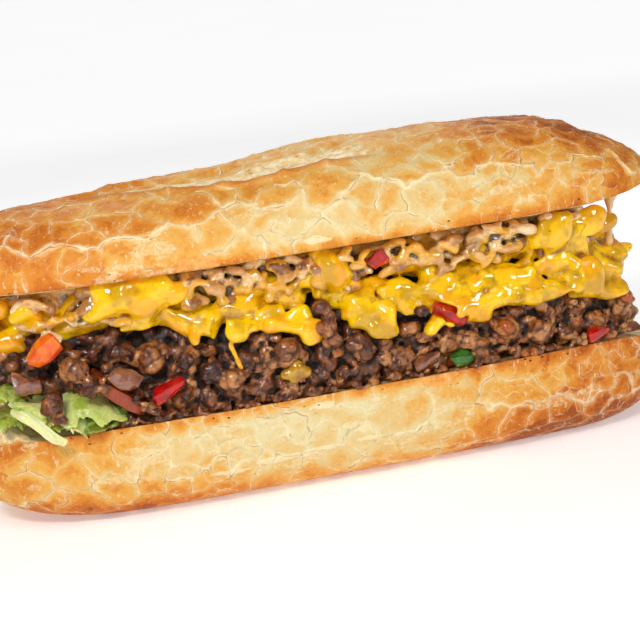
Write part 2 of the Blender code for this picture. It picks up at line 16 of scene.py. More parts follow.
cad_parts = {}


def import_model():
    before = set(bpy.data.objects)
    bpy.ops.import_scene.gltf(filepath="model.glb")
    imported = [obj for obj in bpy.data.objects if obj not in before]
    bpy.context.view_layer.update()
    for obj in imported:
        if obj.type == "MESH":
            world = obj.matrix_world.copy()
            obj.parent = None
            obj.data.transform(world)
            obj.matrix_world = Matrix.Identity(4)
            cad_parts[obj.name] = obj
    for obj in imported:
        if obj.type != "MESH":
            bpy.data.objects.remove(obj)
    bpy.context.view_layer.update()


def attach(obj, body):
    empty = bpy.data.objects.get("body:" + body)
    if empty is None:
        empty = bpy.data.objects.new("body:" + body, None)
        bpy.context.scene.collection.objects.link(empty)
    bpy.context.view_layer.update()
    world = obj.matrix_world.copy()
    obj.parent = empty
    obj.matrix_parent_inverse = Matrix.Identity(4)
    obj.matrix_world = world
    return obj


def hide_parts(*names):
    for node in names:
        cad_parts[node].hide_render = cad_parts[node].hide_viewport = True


MM = 0.001

# The roll, which both halves share in plan
ROLL_HALF_LENGTH = 121.0
ROLL_HALF_WIDTH = 38.0
PLAN_POWER = 3.2
RIM_TUCK = 0.045
CRUST_SWELL = 0.55
SWELL_SIZE = 17.0

# Lower half
LOWER_RIM = 33.4
CUT_DEPTH = 1.0
TIP_HEIGHT = 21.0
FLAT_FROM, FLAT_TO = -60.0, 82.0
BOTTOM_POWER = 0.62
FLATTEN = 1.05
CRUMB_TUFT_X, CRUMB_TUFT_LENGTH = -107.0, 6.5
TORN_TUFT_HEIGHT = 7.6

# Upper half
UPPER_TIPS = (-121.0, 119.0)
UPPER_RIM = LOWER_RIM + 47.0
UPPER_TILT = math.radians(4)
UPPER_TIP_RISE = 7.0
UNDERSIDE_RISE = 0.8
CROWN = (
    (-121, 25), (-75, 24.6), (-35, 26.6), (10, 31), (50, 31), (80, 29.6), (90, 27.3), (101, 22.8), (119, 19),
)
CROWN_POWER = 0.9
SLASH_START, SLASH_END = -90.0, 30.0
SLASH_EAR_LIFT = 1.9
SLASH_DEPTH = 3.4

# Filling, whose heights are above the lower half's rim
FILL_HALF_LENGTH = 113.0
FILL_HALF_WIDTH = 33.5
FILL_POWER = 0.68
FILL_FLOOR = LOWER_RIM - CUT_DEPTH + 0.6
FILL_TOP = ((-113, 31), (-96, 36), (78, 36), (98, 30), (113, 26))
CRUMB_REACH = 3.3
CORE_INSET = 2.6
SALAD_LIFT = 11.5
SALAD_LIFT_FROM, SALAD_LIFT_TO = -54.0, -77.0
CHEESE_THICKNESS = 3.6
CHEESE_CLEARANCE = 0.9
CHEESE_FRONT_EDGE = (
    (-113, 26), (-85, 29), (-58, 28.5), (-46, 26), (-37, 20), (-22, 20), (-5, 18.5), (13, 19),
    (20, 12), (26, 18), (44, 15), (58, 15.5), (71, 18), (79, 16.5), (87, 12), (98, 11), (113, 12),
)
CHEESE_BACK_EDGE = (
    (-113, 25), (-84, 23), (-62, 25), (-40, 16), (-18, 21), (4, 15), (26, 22), (52, 15), (74, 20),
    (92, 14), (113, 15),
)
SAUCE_THICKNESS = 1.2
SAUCE_ENDS = (-109.0, 107.0)
SAUCE_HALF_WIDTH = 31.0
STRAND_X, STRAND_Y, STRAND_RADIUS = 101.0, -16.5, 1.3
ONION_LAYER_ENDS = (-97.0, 91.0)
ONION_LAYER_HALF_WIDTH = 27.5
ONION_LAYER_NARROWING, ONION_LAYER_REACH = 8.0, 95.0

# Grid counts of the roll, and the voxel size and adaptivity of each filling's mesh
ROLL_STATIONS = 440
CRUST_ROWS, CUT_ROWS = 160, 28
BEEF_MESH = (0.7, 0.45)
CHEESE_MESH = (0.66, 0.06)
ONION_MESH = (0.66, 0.12)
SAUCE_MESH = (1.0, 0.25)


def ease(value, start, end):
    """0 before start and 1 after end, smooth between them; start may be the larger."""
    share = np.clip((value - start) / (end - start), 0.0, 1.0)
    return share * share * (3 - 2 * share)


def through(points, x):
    """The height at x of a smooth line through (x, height) points."""
    places, heights = np.array(points, float).T
    i = np.clip(np.searchsorted(places, x) - 1, 0, len(places) - 2)
    return heights[i] + (heights[i + 1] - heights[i]) * ease(x, places[i], places[i + 1])


def oval(share, power):
    """The half breadth of a superellipse at a share of its half length."""
    return np.maximum(0.0, 1 - np.abs(share) ** power) ** (1 / power)


def signed_power(value, power):
    return np.copysign(np.abs(value) ** power, value)


def grid(x, y, z):
    """Points from arrays of their coordinates that broadcast together."""
    return np.stack(np.broadcast_arrays(x, y, z), axis=-1)


def half_width(x):
    return ROLL_HALF_WIDTH * oval(x / ROLL_HALF_LENGTH, PLAN_POWER)


def between(ends, x):
    """x as a share of the way from the middle of two ends (0) to either of them (-1 or 1)."""
    return np.clip((2 * x - ends[0] - ends[1]) / (ends[1] - ends[0]), -1.0, 1.0)


def upper_half_width(x):
    return ROLL_HALF_WIDTH * oval(between(UPPER_TIPS, x), PLAN_POWER)


def upper_tip_rise(x):
    return UPPER_TIP_RISE * (1 - np.sqrt(1 - np.abs(between(UPPER_TIPS, x)) ** 8))


def lower_rim(x):
    return LOWER_RIM - (LOWER_RIM - TIP_HEIGHT) * (1 - np.sqrt(1 - np.abs(x / ROLL_HALF_LENGTH) ** 8))


def lower_base(x):
    edge = np.where(x < 0, -FLAT_FROM, FLAT_TO)
    beyond = np.maximum(0.0, np.abs(x) - edge) / (ROLL_HALF_LENGTH - edge)
    return TIP_HEIGHT * (1 - np.sqrt(1 - np.minimum(1.0, beyond) ** 2.6))


def underside(x, y):
    """Height of the upper half's cut face, which tilts down to the back."""
    lip = UNDERSIDE_RISE * upper_half_width(x) / ROLL_HALF_WIDTH
    return UPPER_RIM + lip + upper_tip_rise(x) - (y + ROLL_HALF_WIDTH) * math.sin(UPPER_TILT)


def fill_half_width(x):
    return FILL_HALF_WIDTH * oval(x / FILL_HALF_LENGTH, 3.0)


def fill_floor(x):
    return FILL_FLOOR + SALAD_LIFT * ease(x, SALAD_LIFT_FROM, SALAD_LIFT_TO)


def fill_height(x):
    height = LOWER_RIM + through(FILL_TOP, x) - FILL_FLOOR
    return height * (0.55 + 0.45 * oval(x / FILL_HALF_LENGTH, 5.0))


def fill_point(x, turn, grow=0.0):
    """A point on the beef's outline at x; turn runs from the front face over the top to the back."""
    y = -(fill_half_width(x) + grow) * signed_power(np.cos(turn), FILL_POWER)
    rise = (fill_height(x) + grow) * np.maximum(0.0, np.sin(turn)) ** FILL_POWER
    return grid(x, y, FILL_FLOOR + rise)


def turn_at_height(x, height):
    """The turn at which the beef's outline is at a height above the rim."""
    share = np.clip((LOWER_RIM + height - FILL_FLOOR) / fill_height(x), 0.02, 0.97)
    return np.arcsin(share ** (1 / FILL_POWER))


def side_y(side, x, height, grow):
    """Where the filling's front (-1) or back (1) face is at a height above the rim, grown outwards."""
    turn = float(turn_at_height(x, height))
    return float(fill_point(x, turn if side < 0 else math.pi - turn, grow)[1])


def cheese_edge(x, y):
    """How high above the rim the cheese ends at x, on the side that y is on."""
    return np.where(y < 0, through(CHEESE_FRONT_EDGE, x), through(CHEESE_BACK_EDGE, x))


def cheese_top(x, y):
    width = fill_half_width(x) + CHEESE_CLEARANCE + CHEESE_THICKNESS
    turn = np.arccos(np.clip(signed_power(-y / width, 1 / FILL_POWER), -1.0, 1.0))
    return fill_point(x, turn, CHEESE_CLEARANCE + CHEESE_THICKNESS)[..., 2]


def onion_face(x, grow):
    """How far out the onion layer reaches at x, which is less towards its ends, grown outwards."""
    return ONION_LAYER_HALF_WIDTH + grow - ONION_LAYER_NARROWING * (np.abs(x + 3) / ONION_LAYER_REACH) ** 6


def turning(angles):
    """The matrix that turns by angles in radians about X, Y and Z."""
    return np.array(Euler(angles).to_matrix())


def placed(centre, degrees):
    """A centre given by its height above the rim, as a point, and the matrix that turns by degrees."""
    return np.array(centre, float) + [0, 0, LOWER_RIM], turning([math.radians(angle) for angle in degrees])


# Noise

LATTICE_SIZE = 32
LATTICE = np.random.default_rng(5).uniform(-1, 1, (LATTICE_SIZE,) * 3).astype(np.float32)
CELL_POINTS = np.random.default_rng(6).uniform(0.08, 0.92, (LATTICE_SIZE,) * 3 + (3,))
TURNED = turning((0.6, 1.1, 0.4))
SEED_STEP = np.array([3.17, 7.71, 5.39])
FIRST_CELL = 500


def noise(points, size, seed=0):
    """Smooth noise from -1 to 1 at an array of points, in waves of about the given size."""
    at = points / size + seed * SEED_STEP + FIRST_CELL
    cell = np.floor(at).astype(np.int64)
    share = at - cell
    share = share * share * (3 - 2 * share)
    total = np.zeros(points.shape[:-1])
    for corner in range(8):
        step = np.array([corner & 1, corner >> 1 & 1, corner >> 2 & 1])
        i, j, k = np.moveaxis((cell + step) % LATTICE_SIZE, -1, 0)
        total += np.prod(np.where(step, share, 1 - share), axis=-1) * LATTICE[i, j, k]
    return total


def rough(points, size, octaves=4, seed=0, fade=0.55):
    """Noise summed over octaves, each half the size of the last."""
    total, weight, at = 0.0, 1.0, points.reshape(-1, 3)
    for octave in range(octaves):
        total = total + weight * noise(at, size, seed + octave)
        at = at @ TURNED
        size, weight = size / 2, weight * fade
    return total.reshape(points.shape[:-1])


def cells(points, size, seed=0, chunk=80000):
    """(distance to the nearest of scattered points, to the second nearest, number of the nearest).

    The distances are shares of size.
    """
    nearest, second, number = (np.empty(len(points)) for _ in range(3))
    for start in range(0, len(points), chunk):
        at = points[start:start + chunk] / size + seed * SEED_STEP + FIRST_CELL
        cell = np.floor(at).astype(np.int64)
        first = np.full(len(at), 9.0)
        next_one, owner = first.copy(), np.zeros(len(at))
        for corner in range(27):
            place = cell + np.array([corner % 3, corner // 3 % 3, corner // 9]) - 1
            i, j, k = (place % LATTICE_SIZE).T
            away = ((place + CELL_POINTS[i, j, k] - at) ** 2).sum(axis=1)
            closer = away < first
            next_one = np.where(closer, first, np.minimum(next_one, away))
            owner = np.where(closer, i + LATTICE_SIZE * (j + LATTICE_SIZE * k), owner)
            first = np.where(closer, away, first)
        part = slice(start, start + len(at))
        nearest[part], second[part], number[part] = np.sqrt(first), np.sqrt(next_one), owner
    return nearest, second, number


def chance(number, salt=0.0):
    """A repeatable value from 0 to 1 for a whole number, or for an array of them."""
    return np.modf(np.abs(np.sin(number * 12.9898 + salt * 78.233 + 1.0)) * 43758.5453)[0]


# Meshes

def put(name, data):
    """A new object of the data, in the scene."""
    made = bpy.data.objects.new(name, data)
    bpy.context.scene.collection.objects.link(made)
    return made


def new_mesh(name, points, quads, triangles):
    mesh = bpy.data.meshes.new(name)
    corners = np.concatenate([quads.ravel(), triangles.ravel()]).astype(np.int32)
    sizes = np.repeat([4, 3], [len(quads), len(triangles)])
    starts = np.concatenate([[0], np.cumsum(sizes)[:-1]]).astype(np.int32)
    mesh.vertices.add(len(points))
    mesh.vertices.foreach_set("co", (points * MM).astype(np.float32).ravel())
    mesh.loops.add(len(corners))
    mesh.loops.foreach_set("vertex_index", corners)
    mesh.polygons.add(len(sizes))
    mesh.polygons.foreach_set("loop_start", starts)
    mesh.update(calc_edges=True)
    mesh.validate()
    mesh.shade_smooth()
    return mesh


def new_piece(name, mesh, material, slot, *nodes, **values):
    """An object on the one body, in place of its CAD nodes, with a value at each point for each name."""
    for value_name, numbers in values.items():
        attribute = mesh.attributes.new(value_name, "FLOAT", "POINT")
        attribute.data.foreach_set("value", np.ascontiguousarray(numbers, np.float32))
    mesh.materials.append(material)
    made = put(name, mesh)
    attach(made, "root")
    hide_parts(*nodes)
    return made


def closed_mesh(name, rings, ends, place=lambda points: points):
    """A mesh from rings that close on themselves and the two points that close its ends."""
    points = np.concatenate([rings.reshape(-1, 3), np.array(ends, float)])
    return new_mesh(name, place(points), *ring_faces(*rings.shape[:2]))


def ring_faces(rows, columns):
    """Quads between rings that close on themselves, then the two fans of triangles at the tips."""
    ring = np.arange(columns)
    after = (ring + 1) % columns
    start = np.arange(rows - 1)[:, None] * columns
    corners = [start + ring, start + after, start + after + columns, start + ring + columns]
    last, start_tip = (rows - 1) * columns, rows * columns
    start_fan = np.stack([after, ring, np.full(columns, start_tip)], axis=-1)
    end_fan = np.stack([last + ring, last + after, np.full(columns, start_tip + 1)], axis=-1)
    return np.stack(corners, axis=-1).reshape(-1, 4), np.concatenate([start_fan, end_fan])


def even_steps(fine, steps, count, trim=0):
    """Values of a fine range at a count of even steps along its way, without a trim at either end."""
    way = np.concatenate([[0], np.cumsum(steps)])
    return np.interp(np.linspace(0, way[-1], count + 2 * trim)[trim:count + trim], way, fine)


FINE_COUNT = 4001


def even_stations(ends, width_of, count):
    """Places along X at even steps along the plan's outline, without the tips."""
    middle, reach = sum(ends) / 2, (ends[1] - ends[0]) / 2
    fine = middle + reach * np.sin(np.linspace(-math.pi / 2, math.pi / 2, FINE_COUNT))
    return even_steps(fine, np.hypot(np.diff(fine), 0.7 * np.diff(width_of(fine))), count, 1)


def even_turns(point_of, weight_of, count):
    """Turns from 0 to pi at even steps along a profile, each stretch counted by its weight."""
    fine = np.linspace(0, math.pi, FINE_COUNT)
    points = point_of(fine)
    lengths = np.linalg.norm(np.diff(points, axis=0), axis=1)
    return even_steps(fine, lengths * weight_of((points[1:] + points[:-1]) / 2), count)


def grid_normals(points):
    """Unit normals of a grid whose rows run along +X: out of the lower half, but into the upper half."""
    along = np.gradient(points, axis=0)
    across = np.gradient(points, axis=1)
    normal = np.cross(across, along)
    return normal / np.maximum(1e-9, np.linalg.norm(normal, axis=-1, keepdims=True))


def swell_noise(points, size, seed):
    """The same slow unevenness as the solids have."""
    flat = points.reshape(-1, 3) / size + np.array([seed, 0.0, 0.0])
    values = [blender_noise.noise(Vector(point)) for point in flat.tolist()]
    return np.array(values).reshape(points.shape[:-1])


# Crust

PLATE_SIZE, FINE_PLATE_SIZE = 7.2, 3.4
PLATE_STRETCH = np.array([0.82, 1.0, 1.0])
PLATE_WARP = ((9.0, 2.8), (3.6, 1.2), (1.5, 0.5))
MOST_PLATES = 9000
HIDDEN_BORDERS, HIDDEN_FINE_BORDERS = 0.26, 0.4
BAND_LEVEL = 0.52
BAND_BOLDNESS = 1.7
BAND_WOBBLE = 0.09
LIP_HEIGHT = 0.3
CREASE_FLOOR, CREASE_TOP = -0.9, 0.5
NO_LINE = 50.0
UPPER_BAKE = (
    (-121, 0.80), (-95, 0.62), (-60, 0.43), (-30, 0.32), (5, 0.16), (40, 0.22), (65, 0.45), (95, 0.58),
    (121, 0.72),
)
LOWER_BAKE = (
    (-121, 0.60), (-90, 0.40), (-50, 0.26), (-15, 0.12), (25, 0.12), (52, 0.42), (80, 0.74), (121, 0.86),
)
RIM_BAKE, CROWN_BAKE, BASE_BAKE = 0.62, 0.22, 0.3
# Sauce over the rims: x, Z, and half its length and height
UPPER_SAUCE = ((-40.0, 81.6, 6.5, 3.4),)
LOWER_SAUCE = ((31.0, 32.6, 7.0, 3.0),)
# Torn flaps of crust by the rims: x, Z, and half their length and height
UPPER_FLAPS = ((-2.5, 83.6, 4.5, 1.4),)
LOWER_FLAPS = (
    (-6.0, 30.0, 4.5, 1.3), (-38.0, 13.0, 9.0, 1.0), (-22.0, 14.6, 9.0, 1.2), (-8.0, 15.6, 7.0, 0.9),
    (7.0, 16.4, 6.0, 0.8),
)
FLAKE_ALONG = ((-121, 0.1), (-90, 0.2), (-55, 0.55), (-10, 0.7), (40, 0.65), (75, 0.6), (121, 0.4))
FLAKE_LEVEL = 0.72
# What a cut face has in place of the crust's values
CUT_VALUES = {"crumb": 1.0, "line": NO_LINE, "gap": NO_LINE, "fine_line": NO_LINE, "fine_gap": NO_LINE}


def scattered(points, spacing, draws):
    """Indexes of points in random order, none nearer to another than the spacing there."""
    kept, places = [], np.zeros((0, 3))
    for i in draws.permutation(len(points))[:MOST_PLATES]:
        if not kept or np.linalg.norm(places - points[i], axis=1).min() > spacing[i]:
            kept.append(i)
            places = np.vstack([places, points[i]])
    return np.array(kept)


def plate_borders(points, seeds, sides, hidden, chunk):
    """For each point its plate's number, the distance to the nearest border that shows, that distance with a
    sign which changes across the border, and how bold the border is, most of all between different sides."""
    count = len(points)
    plate, gap, signed, bold = np.zeros(count, int), np.empty(count), np.empty(count), np.empty(count)
    for start in range(0, count, chunk):
        part = slice(start, min(count, start + chunk))
        spans = np.linalg.norm(points[part, None] - seeds[None], axis=2)
        near = np.argpartition(spans, 6, axis=1)[:, :7]
        order = np.argsort(np.take_along_axis(spans, near, axis=1), axis=1)
        near = np.take_along_axis(near, order, axis=1)
        reach = np.take_along_axis(spans, near, axis=1)
        home = near[:, 0]
        best, side, strength = np.full(len(home), 99.0), np.ones(len(home)), np.zeros(len(home))
        for k in range(1, 7):
            other = near[:, k]
            apart = np.linalg.norm(seeds[home] - seeds[other], axis=1)
            away = (reach[:, k] ** 2 - reach[:, 0] ** 2) / (2 * apart)
            luck = chance(np.minimum(home, other) * 131.0 + np.maximum(home, other) * 17.0)
            luck = np.where(sides[home] != sides[other], BAND_BOLDNESS, luck)
            shown = (luck > hidden) & (away < best)
            best = np.where(shown, away, best)
            side = np.where(shown, np.where(home < other, 1.0, -1.0), side)
            strength = np.where(shown, luck, strength)
        plate[part], gap[part], signed[part], bold[part] = home, best, best * side, strength
    return plate, gap, signed, bold


def crust_detail(points, front_height, draws, seed):
    """Relief height and surface values of a crust, as a dictionary of arrays like the points."""
    flat = points.reshape(-1, 3)
    warped = flat.copy()
    for number, (size, reach) in enumerate(PLATE_WARP):
        for axis in range(3):
            warped[:, axis] += reach * noise(flat, size, seed + 10 * number + axis)
    warped = warped * PLATE_STRETCH
    size_here = PLATE_SIZE * (0.95 + 0.55 * noise(flat, 22.0, seed + 40))
    size_here *= 1 - 0.2 * ease(flat[:, 0], 40, 100)
    chosen = scattered(warped, size_here, draws)
    wobble = BAND_WOBBLE * noise(flat * np.array([1.0, 0.0, 0.0]), 26.0, seed + 45)
    above = (front_height.ravel() + wobble > BAND_LEVEL)[chosen]
    plate, gap, signed, bold = plate_borders(warped, warped[chosen], above, HIDDEN_BORDERS, 6000)
    sample = warped[::3]
    fine = scattered(sample, np.full(len(sample), FINE_PLATE_SIZE), draws)
    one_side = np.zeros(len(fine))
    fine_plate, fine_gap, fine_signed, _ = plate_borders(
        warped, sample[fine], one_side, HIDDEN_FINE_BORDERS, 2000
    )
    strength = np.minimum(bold, 1.2)
    height = 0.3 * (chance(plate, seed) - 0.5) * ease(gap, 0.0, 1.8)
    height -= 0.3 * (0.3 + 0.7 * strength) * np.exp(-((gap / 0.4) ** 2))
    height += LIP_HEIGHT * strength * np.sign(signed) * np.exp(-((gap / 1.3) ** 2)) * ease(gap, 0.0, 0.5)
    height += 0.16 * rough(flat, 3.2, 3, seed + 60)
    found = {
        "height": height, "plate": chance(plate, seed + 0.5), "gap": gap, "line": signed, "bold": bold,
        "fine_line": fine_signed, "fine_gap": fine_gap, "fine_tone": chance(fine_plate, seed + 0.7),
        "streaks": rough(flat * np.array([0.3, 1.0, 1.0]), 5.0, 4, seed + 50),
        "above": above[plate].astype(float),
    }
    return {name: numbers.reshape(points.shape[:-1]) for name, numbers in found.items()}


def patches(points, places, seed):
    """1 inside ragged ovals on the front, falling smoothly to 0 outside them."""
    ragged = 0.3 * rough(points, 3.0, 3, seed)
    total = np.zeros(points.shape[:-1])
    for x, z, length, height in places:
        away = np.hypot((points[..., 0] - x) / length, (points[..., 2] - z) / height) + ragged
        total = np.maximum(total, ease(away, 1.15, 0.85) * (points[..., 1] < 0))
    return total


def surface_values(points, detail, front_height, bake_along, seed):
    """The values that the crust's material reads at each point."""
    x = points[..., 0]
    cloud = rough(points * np.array([0.5, 1.0, 1.0]), 20.0, 3, seed + 80)
    bake = through(bake_along, x) + 0.15 * cloud
    bake += 0.17 * detail["above"] * ease(front_height, 0.3, 0.6)
    bake += RIM_BAKE * np.clip(0.9 - bake, 0, 1) * (1 - ease(front_height + 0.03 * cloud, 0.0, 0.16))
    bake += 0.12 * (detail["plate"] - 0.5)
    band = np.exp(-(((front_height - 0.42) / 0.24) ** 2)) * through(FLAKE_ALONG, x)
    values = {name: detail[name] for name in ("line", "gap", "bold", "fine_line", "fine_gap", "fine_tone")}
    values.update({name: np.zeros(x.shape) for name in ("crumb", "ear", "stain")})
    return values | {
        "bake": bake, "flake": ease(detail["streaks"] + 0.6 * band, FLAKE_LEVEL, FLAKE_LEVEL + 0.3),
        "rim": 1 - ease(front_height, 0.04, 0.24), "mottle": 0.35 + 0.65 * ease(x, 25.0, 75.0),
    }


def raised(crust, detail, values, share=1.0, torn=0.0, ridges=0.0):
    """The crust moved along its normals by its plates, sauce, flaps and ridges, and less at the rims."""
    height = (detail["height"] * (1 - torn) - 0.2 * values["flake"]) * share
    height = np.clip(height, CREASE_FLOOR, CREASE_TOP)
    height = height * (1 - values["sauce"]) + 0.4 * values["sauce"] + 0.2 * values["flap"] + ridges
    height[:, (0, -1)] *= 0.3
    return crust + grid_normals(crust) * height[..., None]


def make_crust(name, material, crust, cut, values, cut_values, ends, place=lambda points: points):
    """A half of the roll: its crust, then its cut face, which has values of its own."""
    rings = np.concatenate([crust, cut], axis=1)
    ringed = {}
    for key, numbers in values.items():
        ring = np.concatenate([numbers, np.full(cut.shape[:2], cut_values.get(key, 0.0))], axis=1)
        ringed[key] = np.concatenate([ring.ravel(), [ring[0].mean(), ring[-1].mean()]])
    mesh = closed_mesh(name + "_crust", rings, ends, place)
    return new_piece(name + "_crust", mesh, material, "crust", name, **ringed)


def lower_crust(x, turn):
    """The lower half's crust at places x and turns from the front rim under to the back rim."""
    width, rim, base = half_width(x), lower_rim(x), lower_base(x)
    out = signed_power(np.cos(turn), BOTTOM_POWER) * (1 - RIM_TUCK * (1 - np.sin(turn)) ** 3)
    down = np.minimum(1.0, FLATTEN * np.maximum(0.0, np.sin(turn)) ** BOTTOM_POWER)
    points = grid(x, -width * out, rim - (rim - base) * down)
    swell = CRUST_SWELL * swell_noise(points, SWELL_SIZE, 0.0)
    points[..., 1] += np.copysign(swell, points[..., 1]) * (1 - down)
    return points


def lower_cut(x):
    """The lower half's cut face, from the back rim to the front rim, with the torn crumb at the left end."""
    share = np.linspace(1, -1, CUT_ROWS + 2)[None, 1:-1]
    x = x[:, None]
    width, rim = half_width(x), lower_rim(x)
    lip = CUT_DEPTH * np.minimum(1.0, width / ROLL_HALF_WIDTH) * ease(np.abs(share), 1.0, 0.9)
    tuft = TORN_TUFT_HEIGHT * np.exp(-(((x - CRUMB_TUFT_X) / CRUMB_TUFT_LENGTH) ** 2))
    tuft = tuft * (1 - np.abs(share) ** 14)
    points = grid(x, width * share * (1 - RIM_TUCK), rim - lip + tuft)
    torn = rough(points, 4.5, 4, 70)
    tufted = 1.3 * torn * np.minimum(1.0, tuft / 2)
    points[..., 2] += np.where(tuft > 0.6, tufted, np.minimum(0.0, 0.5 * torn))
    return points


def side_weight(points):
    """How closely a stretch of the crust is sampled: the front most, the underside least."""
    return np.where(points[:, 2] < 0.4, 0.25, np.where(points[:, 1] < 10, 1.0, 0.75))


def make_lower_roll(material):
    x = even_stations((-ROLL_HALF_LENGTH, ROLL_HALF_LENGTH), half_width, ROLL_STATIONS)
    turn = even_turns(lambda turns: lower_crust(np.zeros(1), turns), side_weight, CRUST_ROWS)
    crust = lower_crust(x[:, None], turn[None, :])
    depth = (lower_rim(x)[:, None] - crust[..., 2]) / LOWER_RIM
    detail = crust_detail(crust, depth, np.random.default_rng(21), 3)
    values = surface_values(crust, detail, depth, LOWER_BAKE, 3)
    values["bake"] += BASE_BAKE * ease(depth, 0.6, 0.95)
    values["sauce"] = patches(crust, LOWER_SAUCE, 97)
    values["flap"] = patches(crust, LOWER_FLAPS, 98)
    crust = raised(crust, detail, values, ease(crust[..., 2] - lower_base(x)[:, None], 0.2, 3.0))
    crust[..., 2] = np.maximum(crust[..., 2], 0.0)
    stain = (ease(x, -88, -76) * ease(x, 107, 99))[:, None]
    ends = [(end * ROLL_HALF_LENGTH, 0, TIP_HEIGHT) for end in (-1, 1)]
    make_crust("roll_lower", material, crust, lower_cut(x), values, CUT_VALUES | {"stain": stain}, ends)


# Along the slash: the torn ear's peaks, by x and half breadth, and how many rows are before and in it
EAR_PEAKS = ((-27.0, 4.5), (-44.0, 3.0), (6.0, 3.5), (-8.0, 3.0))
FRONT_ROWS, SLASH_ROWS = 74, 34
# Across the slash: the raised ear, the drop behind it, then the torn slope up
SLASH_PROFILE = (
    (0.0, 1.0), (0.02, 0.9), (0.07, -0.95), (0.3, -0.8), (0.6, -0.6), (0.85, -0.1), (1.0, 0.15),
)


def ear_line(x):
    """The front edge of the baker's slash, which leaves the crown and runs down the front."""
    return -7.0 - 15.5 * ease(x, SLASH_START, -12.0)


def slash_back(x):
    return 5.0 - 6.0 * ease(x, -20.0, SLASH_END)


def slash_share(x):
    return ease(x, SLASH_START, SLASH_START + 22) * ease(x, SLASH_END, SLASH_END - 20)


def upper_height(x):
    return through(CROWN, x) * np.sqrt(1 - np.abs(between(UPPER_TIPS, x)) ** 9)


def upper_crust(x, turn, lift):
    """The upper half's crust in the tilted half's own frame, whose origin is its front rim."""
    width, height = upper_half_width(x), upper_height(x)
    sine = np.maximum(0.0, np.sin(turn))
    tuck = 1 - RIM_TUCK * (1 - sine) ** 3
    out, up = signed_power(np.cos(turn), CROWN_POWER), sine**CROWN_POWER
    swell = lift + CRUST_SWELL * swell_noise(grid(x, width * out, height * up), SWELL_SIZE, 3.0) * up
    y = ROLL_HALF_WIDTH - (width + swell) * out * tuck
    return grid(x, y, upper_tip_rise(x) + (height + swell) * up)


def upper_turn_rows(x):
    """(turns, share across the slash) for each place: rows follow the ear and the slash's back edge."""
    width, x = upper_half_width(x)[:, None], x[:, None]
    ear, back = (np.arccos(np.clip(-line(x) / width, -0.98, 0.98)) for line in (ear_line, slash_back))
    back = np.maximum(back, ear + 0.3)
    front_way = np.linspace(0, 1, FRONT_ROWS, endpoint=False)[None, :]
    slash_way = np.linspace(0, 1, SLASH_ROWS, endpoint=False)[None, :]
    back_way = np.linspace(0, 1, CRUST_ROWS - FRONT_ROWS - SLASH_ROWS)[None, :]
    turns = [ear * front_way, ear + (back - ear) * slash_way, back + (math.pi - back) * back_way]
    share = np.concatenate([front_way * 0 - 1, slash_way, back_way + 1], axis=1) + 0 * x
    return np.concatenate(turns, axis=1), share


def upper_cut(x, rim_height):
    """The upper half's cut face, in its own frame."""
    share = np.linspace(-1, 1, CUT_ROWS + 2)[None, 1:-1]
    width = upper_half_width(x)[:, None]
    lip = UNDERSIDE_RISE * width / ROLL_HALF_WIDTH * ease(np.abs(share), 1.0, 0.9)
    y = ROLL_HALF_WIDTH - width * share * (1 - RIM_TUCK)
    points = grid(x[:, None], y, rim_height[:, None] + lip)
    points[..., 2] += np.maximum(0.0, 0.5 * rough(points, 4.5, 4, 75))
    # Known fault: it runs front to back like the crust, so long faces cross the underside
    return points[:, ::-1]


def upper_to_world(points):
    """From the upper half's own frame to where it leans."""
    turned = points.reshape(-1, 3) @ turning((-UPPER_TILT, 0, 0)).T
    return (turned + np.array([0, -ROLL_HALF_WIDTH, UPPER_RIM])).reshape(points.shape)


def ear_peaks(x):
    """How high the torn ear stands along the slash: a low edge with a few pointed peaks."""
    ragged = 0.55 + 0.35 * rough(grid(x, 0.0, 0.0), 7.0, 4, 95)
    for place, breadth in EAR_PEAKS:
        ragged = ragged + 0.55 * np.maximum(0.0, 1 - np.abs(x - place) / breadth)
    return np.clip(ragged, 0.15, 1.35)[:, None]


